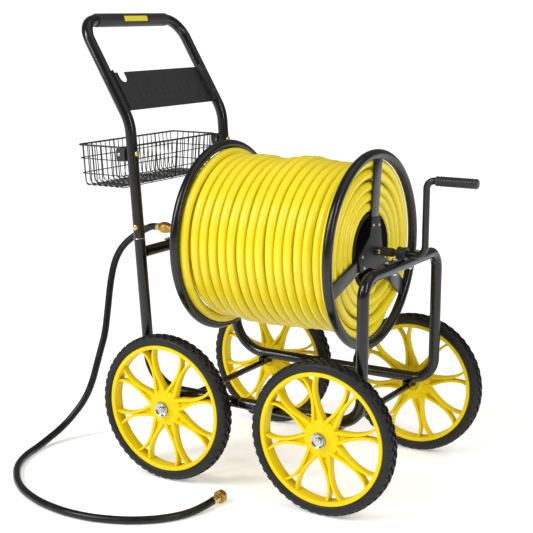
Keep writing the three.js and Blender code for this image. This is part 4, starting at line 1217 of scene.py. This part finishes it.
def studio_white():
    material = node_material("studio_white", (0.93, 0.93, 0.93), 0.9, gloss=0.0)
    mottle = add_pattern(material, 3.0)
    vary(material, mottle, "Roughness", 0.85, 0.95)
    glow = material.node_tree.nodes["Principled BSDF"]
    glow.inputs["Emission Color"].default_value = (1.0, 1.0, 1.0, 1.0)
    glow.inputs["Emission Strength"].default_value = FLOOR_GLOW
    return material


bm = bmesh.new()
bmesh.ops.create_grid(bm, x_segments=4, y_segments=4, size=40.0)
floor_mesh = bpy.data.meshes.new("studio_floor")
bm.to_mesh(floor_mesh)
bm.free()
floor_mesh.materials.append(studio_white())
floor = bpy.data.objects.new("studio_floor", floor_mesh)
scene.collection.objects.link(floor)

world = bpy.data.worlds.new("studio")
world.use_nodes = True
sky = world.node_tree
backdrop = sky.nodes["Background"]
fill = sky.nodes.new("ShaderNodeBackground")
mirrored = sky.nodes.new("ShaderNodeBackground")
for surround, strength in ((backdrop, SEEN_STRENGTH), (fill, FILL_STRENGTH),
                           (mirrored, MIRRORED_STRENGTH)):
    surround.inputs["Color"].default_value = (1.0, 1.0, 1.0, 1.0)
    surround.inputs["Strength"].default_value = strength
seen = sky.nodes.new("ShaderNodeLightPath")
result = fill
for ray, surround in (("Is Glossy Ray", mirrored), ("Is Camera Ray", backdrop)):
    choose = sky.nodes.new("ShaderNodeMixShader")
    sky.links.new(seen.outputs[ray], choose.inputs["Fac"])
    sky.links.new(result.outputs[0], choose.inputs[1])
    sky.links.new(surround.outputs["Background"], choose.inputs[2])
    result = choose
sky.links.new(result.outputs["Shader"], sky.nodes["World Output"].inputs["Surface"])
scene.world = world

SUN_LAMPS = (  # where it stands, angle across, strength
    ((-0.50, -1.40, 1.25), 25.0, 0.95), ((0.9, 0.3, 1.6), 60.0, 0.45),
)
STRIP_BOXES = (  # place, width, height, power
    ((-1.5, -2.3, 2.0), 0.16, 1.9, 34.0), ((2.4, -0.9, 1.9), 0.16, 1.6, 18.0),
)


def hang_lamp(light, place, aim):
    lamp = bpy.data.objects.new(light.name, light)
    lamp.location = place
    lamp.rotation_euler = (Vector(aim) - Vector(place)).to_track_quat("-Z", "Y").to_euler()
    scene.collection.objects.link(lamp)


for number, (place, across, strength) in enumerate(SUN_LAMPS):
    light = bpy.data.lights.new(f"wide_lamp_{number}", "SUN")
    light.angle = math.radians(across)
    light.energy = strength
    hang_lamp(light, place, (0, 0, 0))
for number, (place, width, height, power) in enumerate(STRIP_BOXES):
    light = bpy.data.lights.new(f"strip_box_{number}", "AREA")
    light.shape = "RECTANGLE"
    light.size = width
    light.size_y = height
    light.energy = power
    hang_lamp(light, place, (0, 0, 0.5))
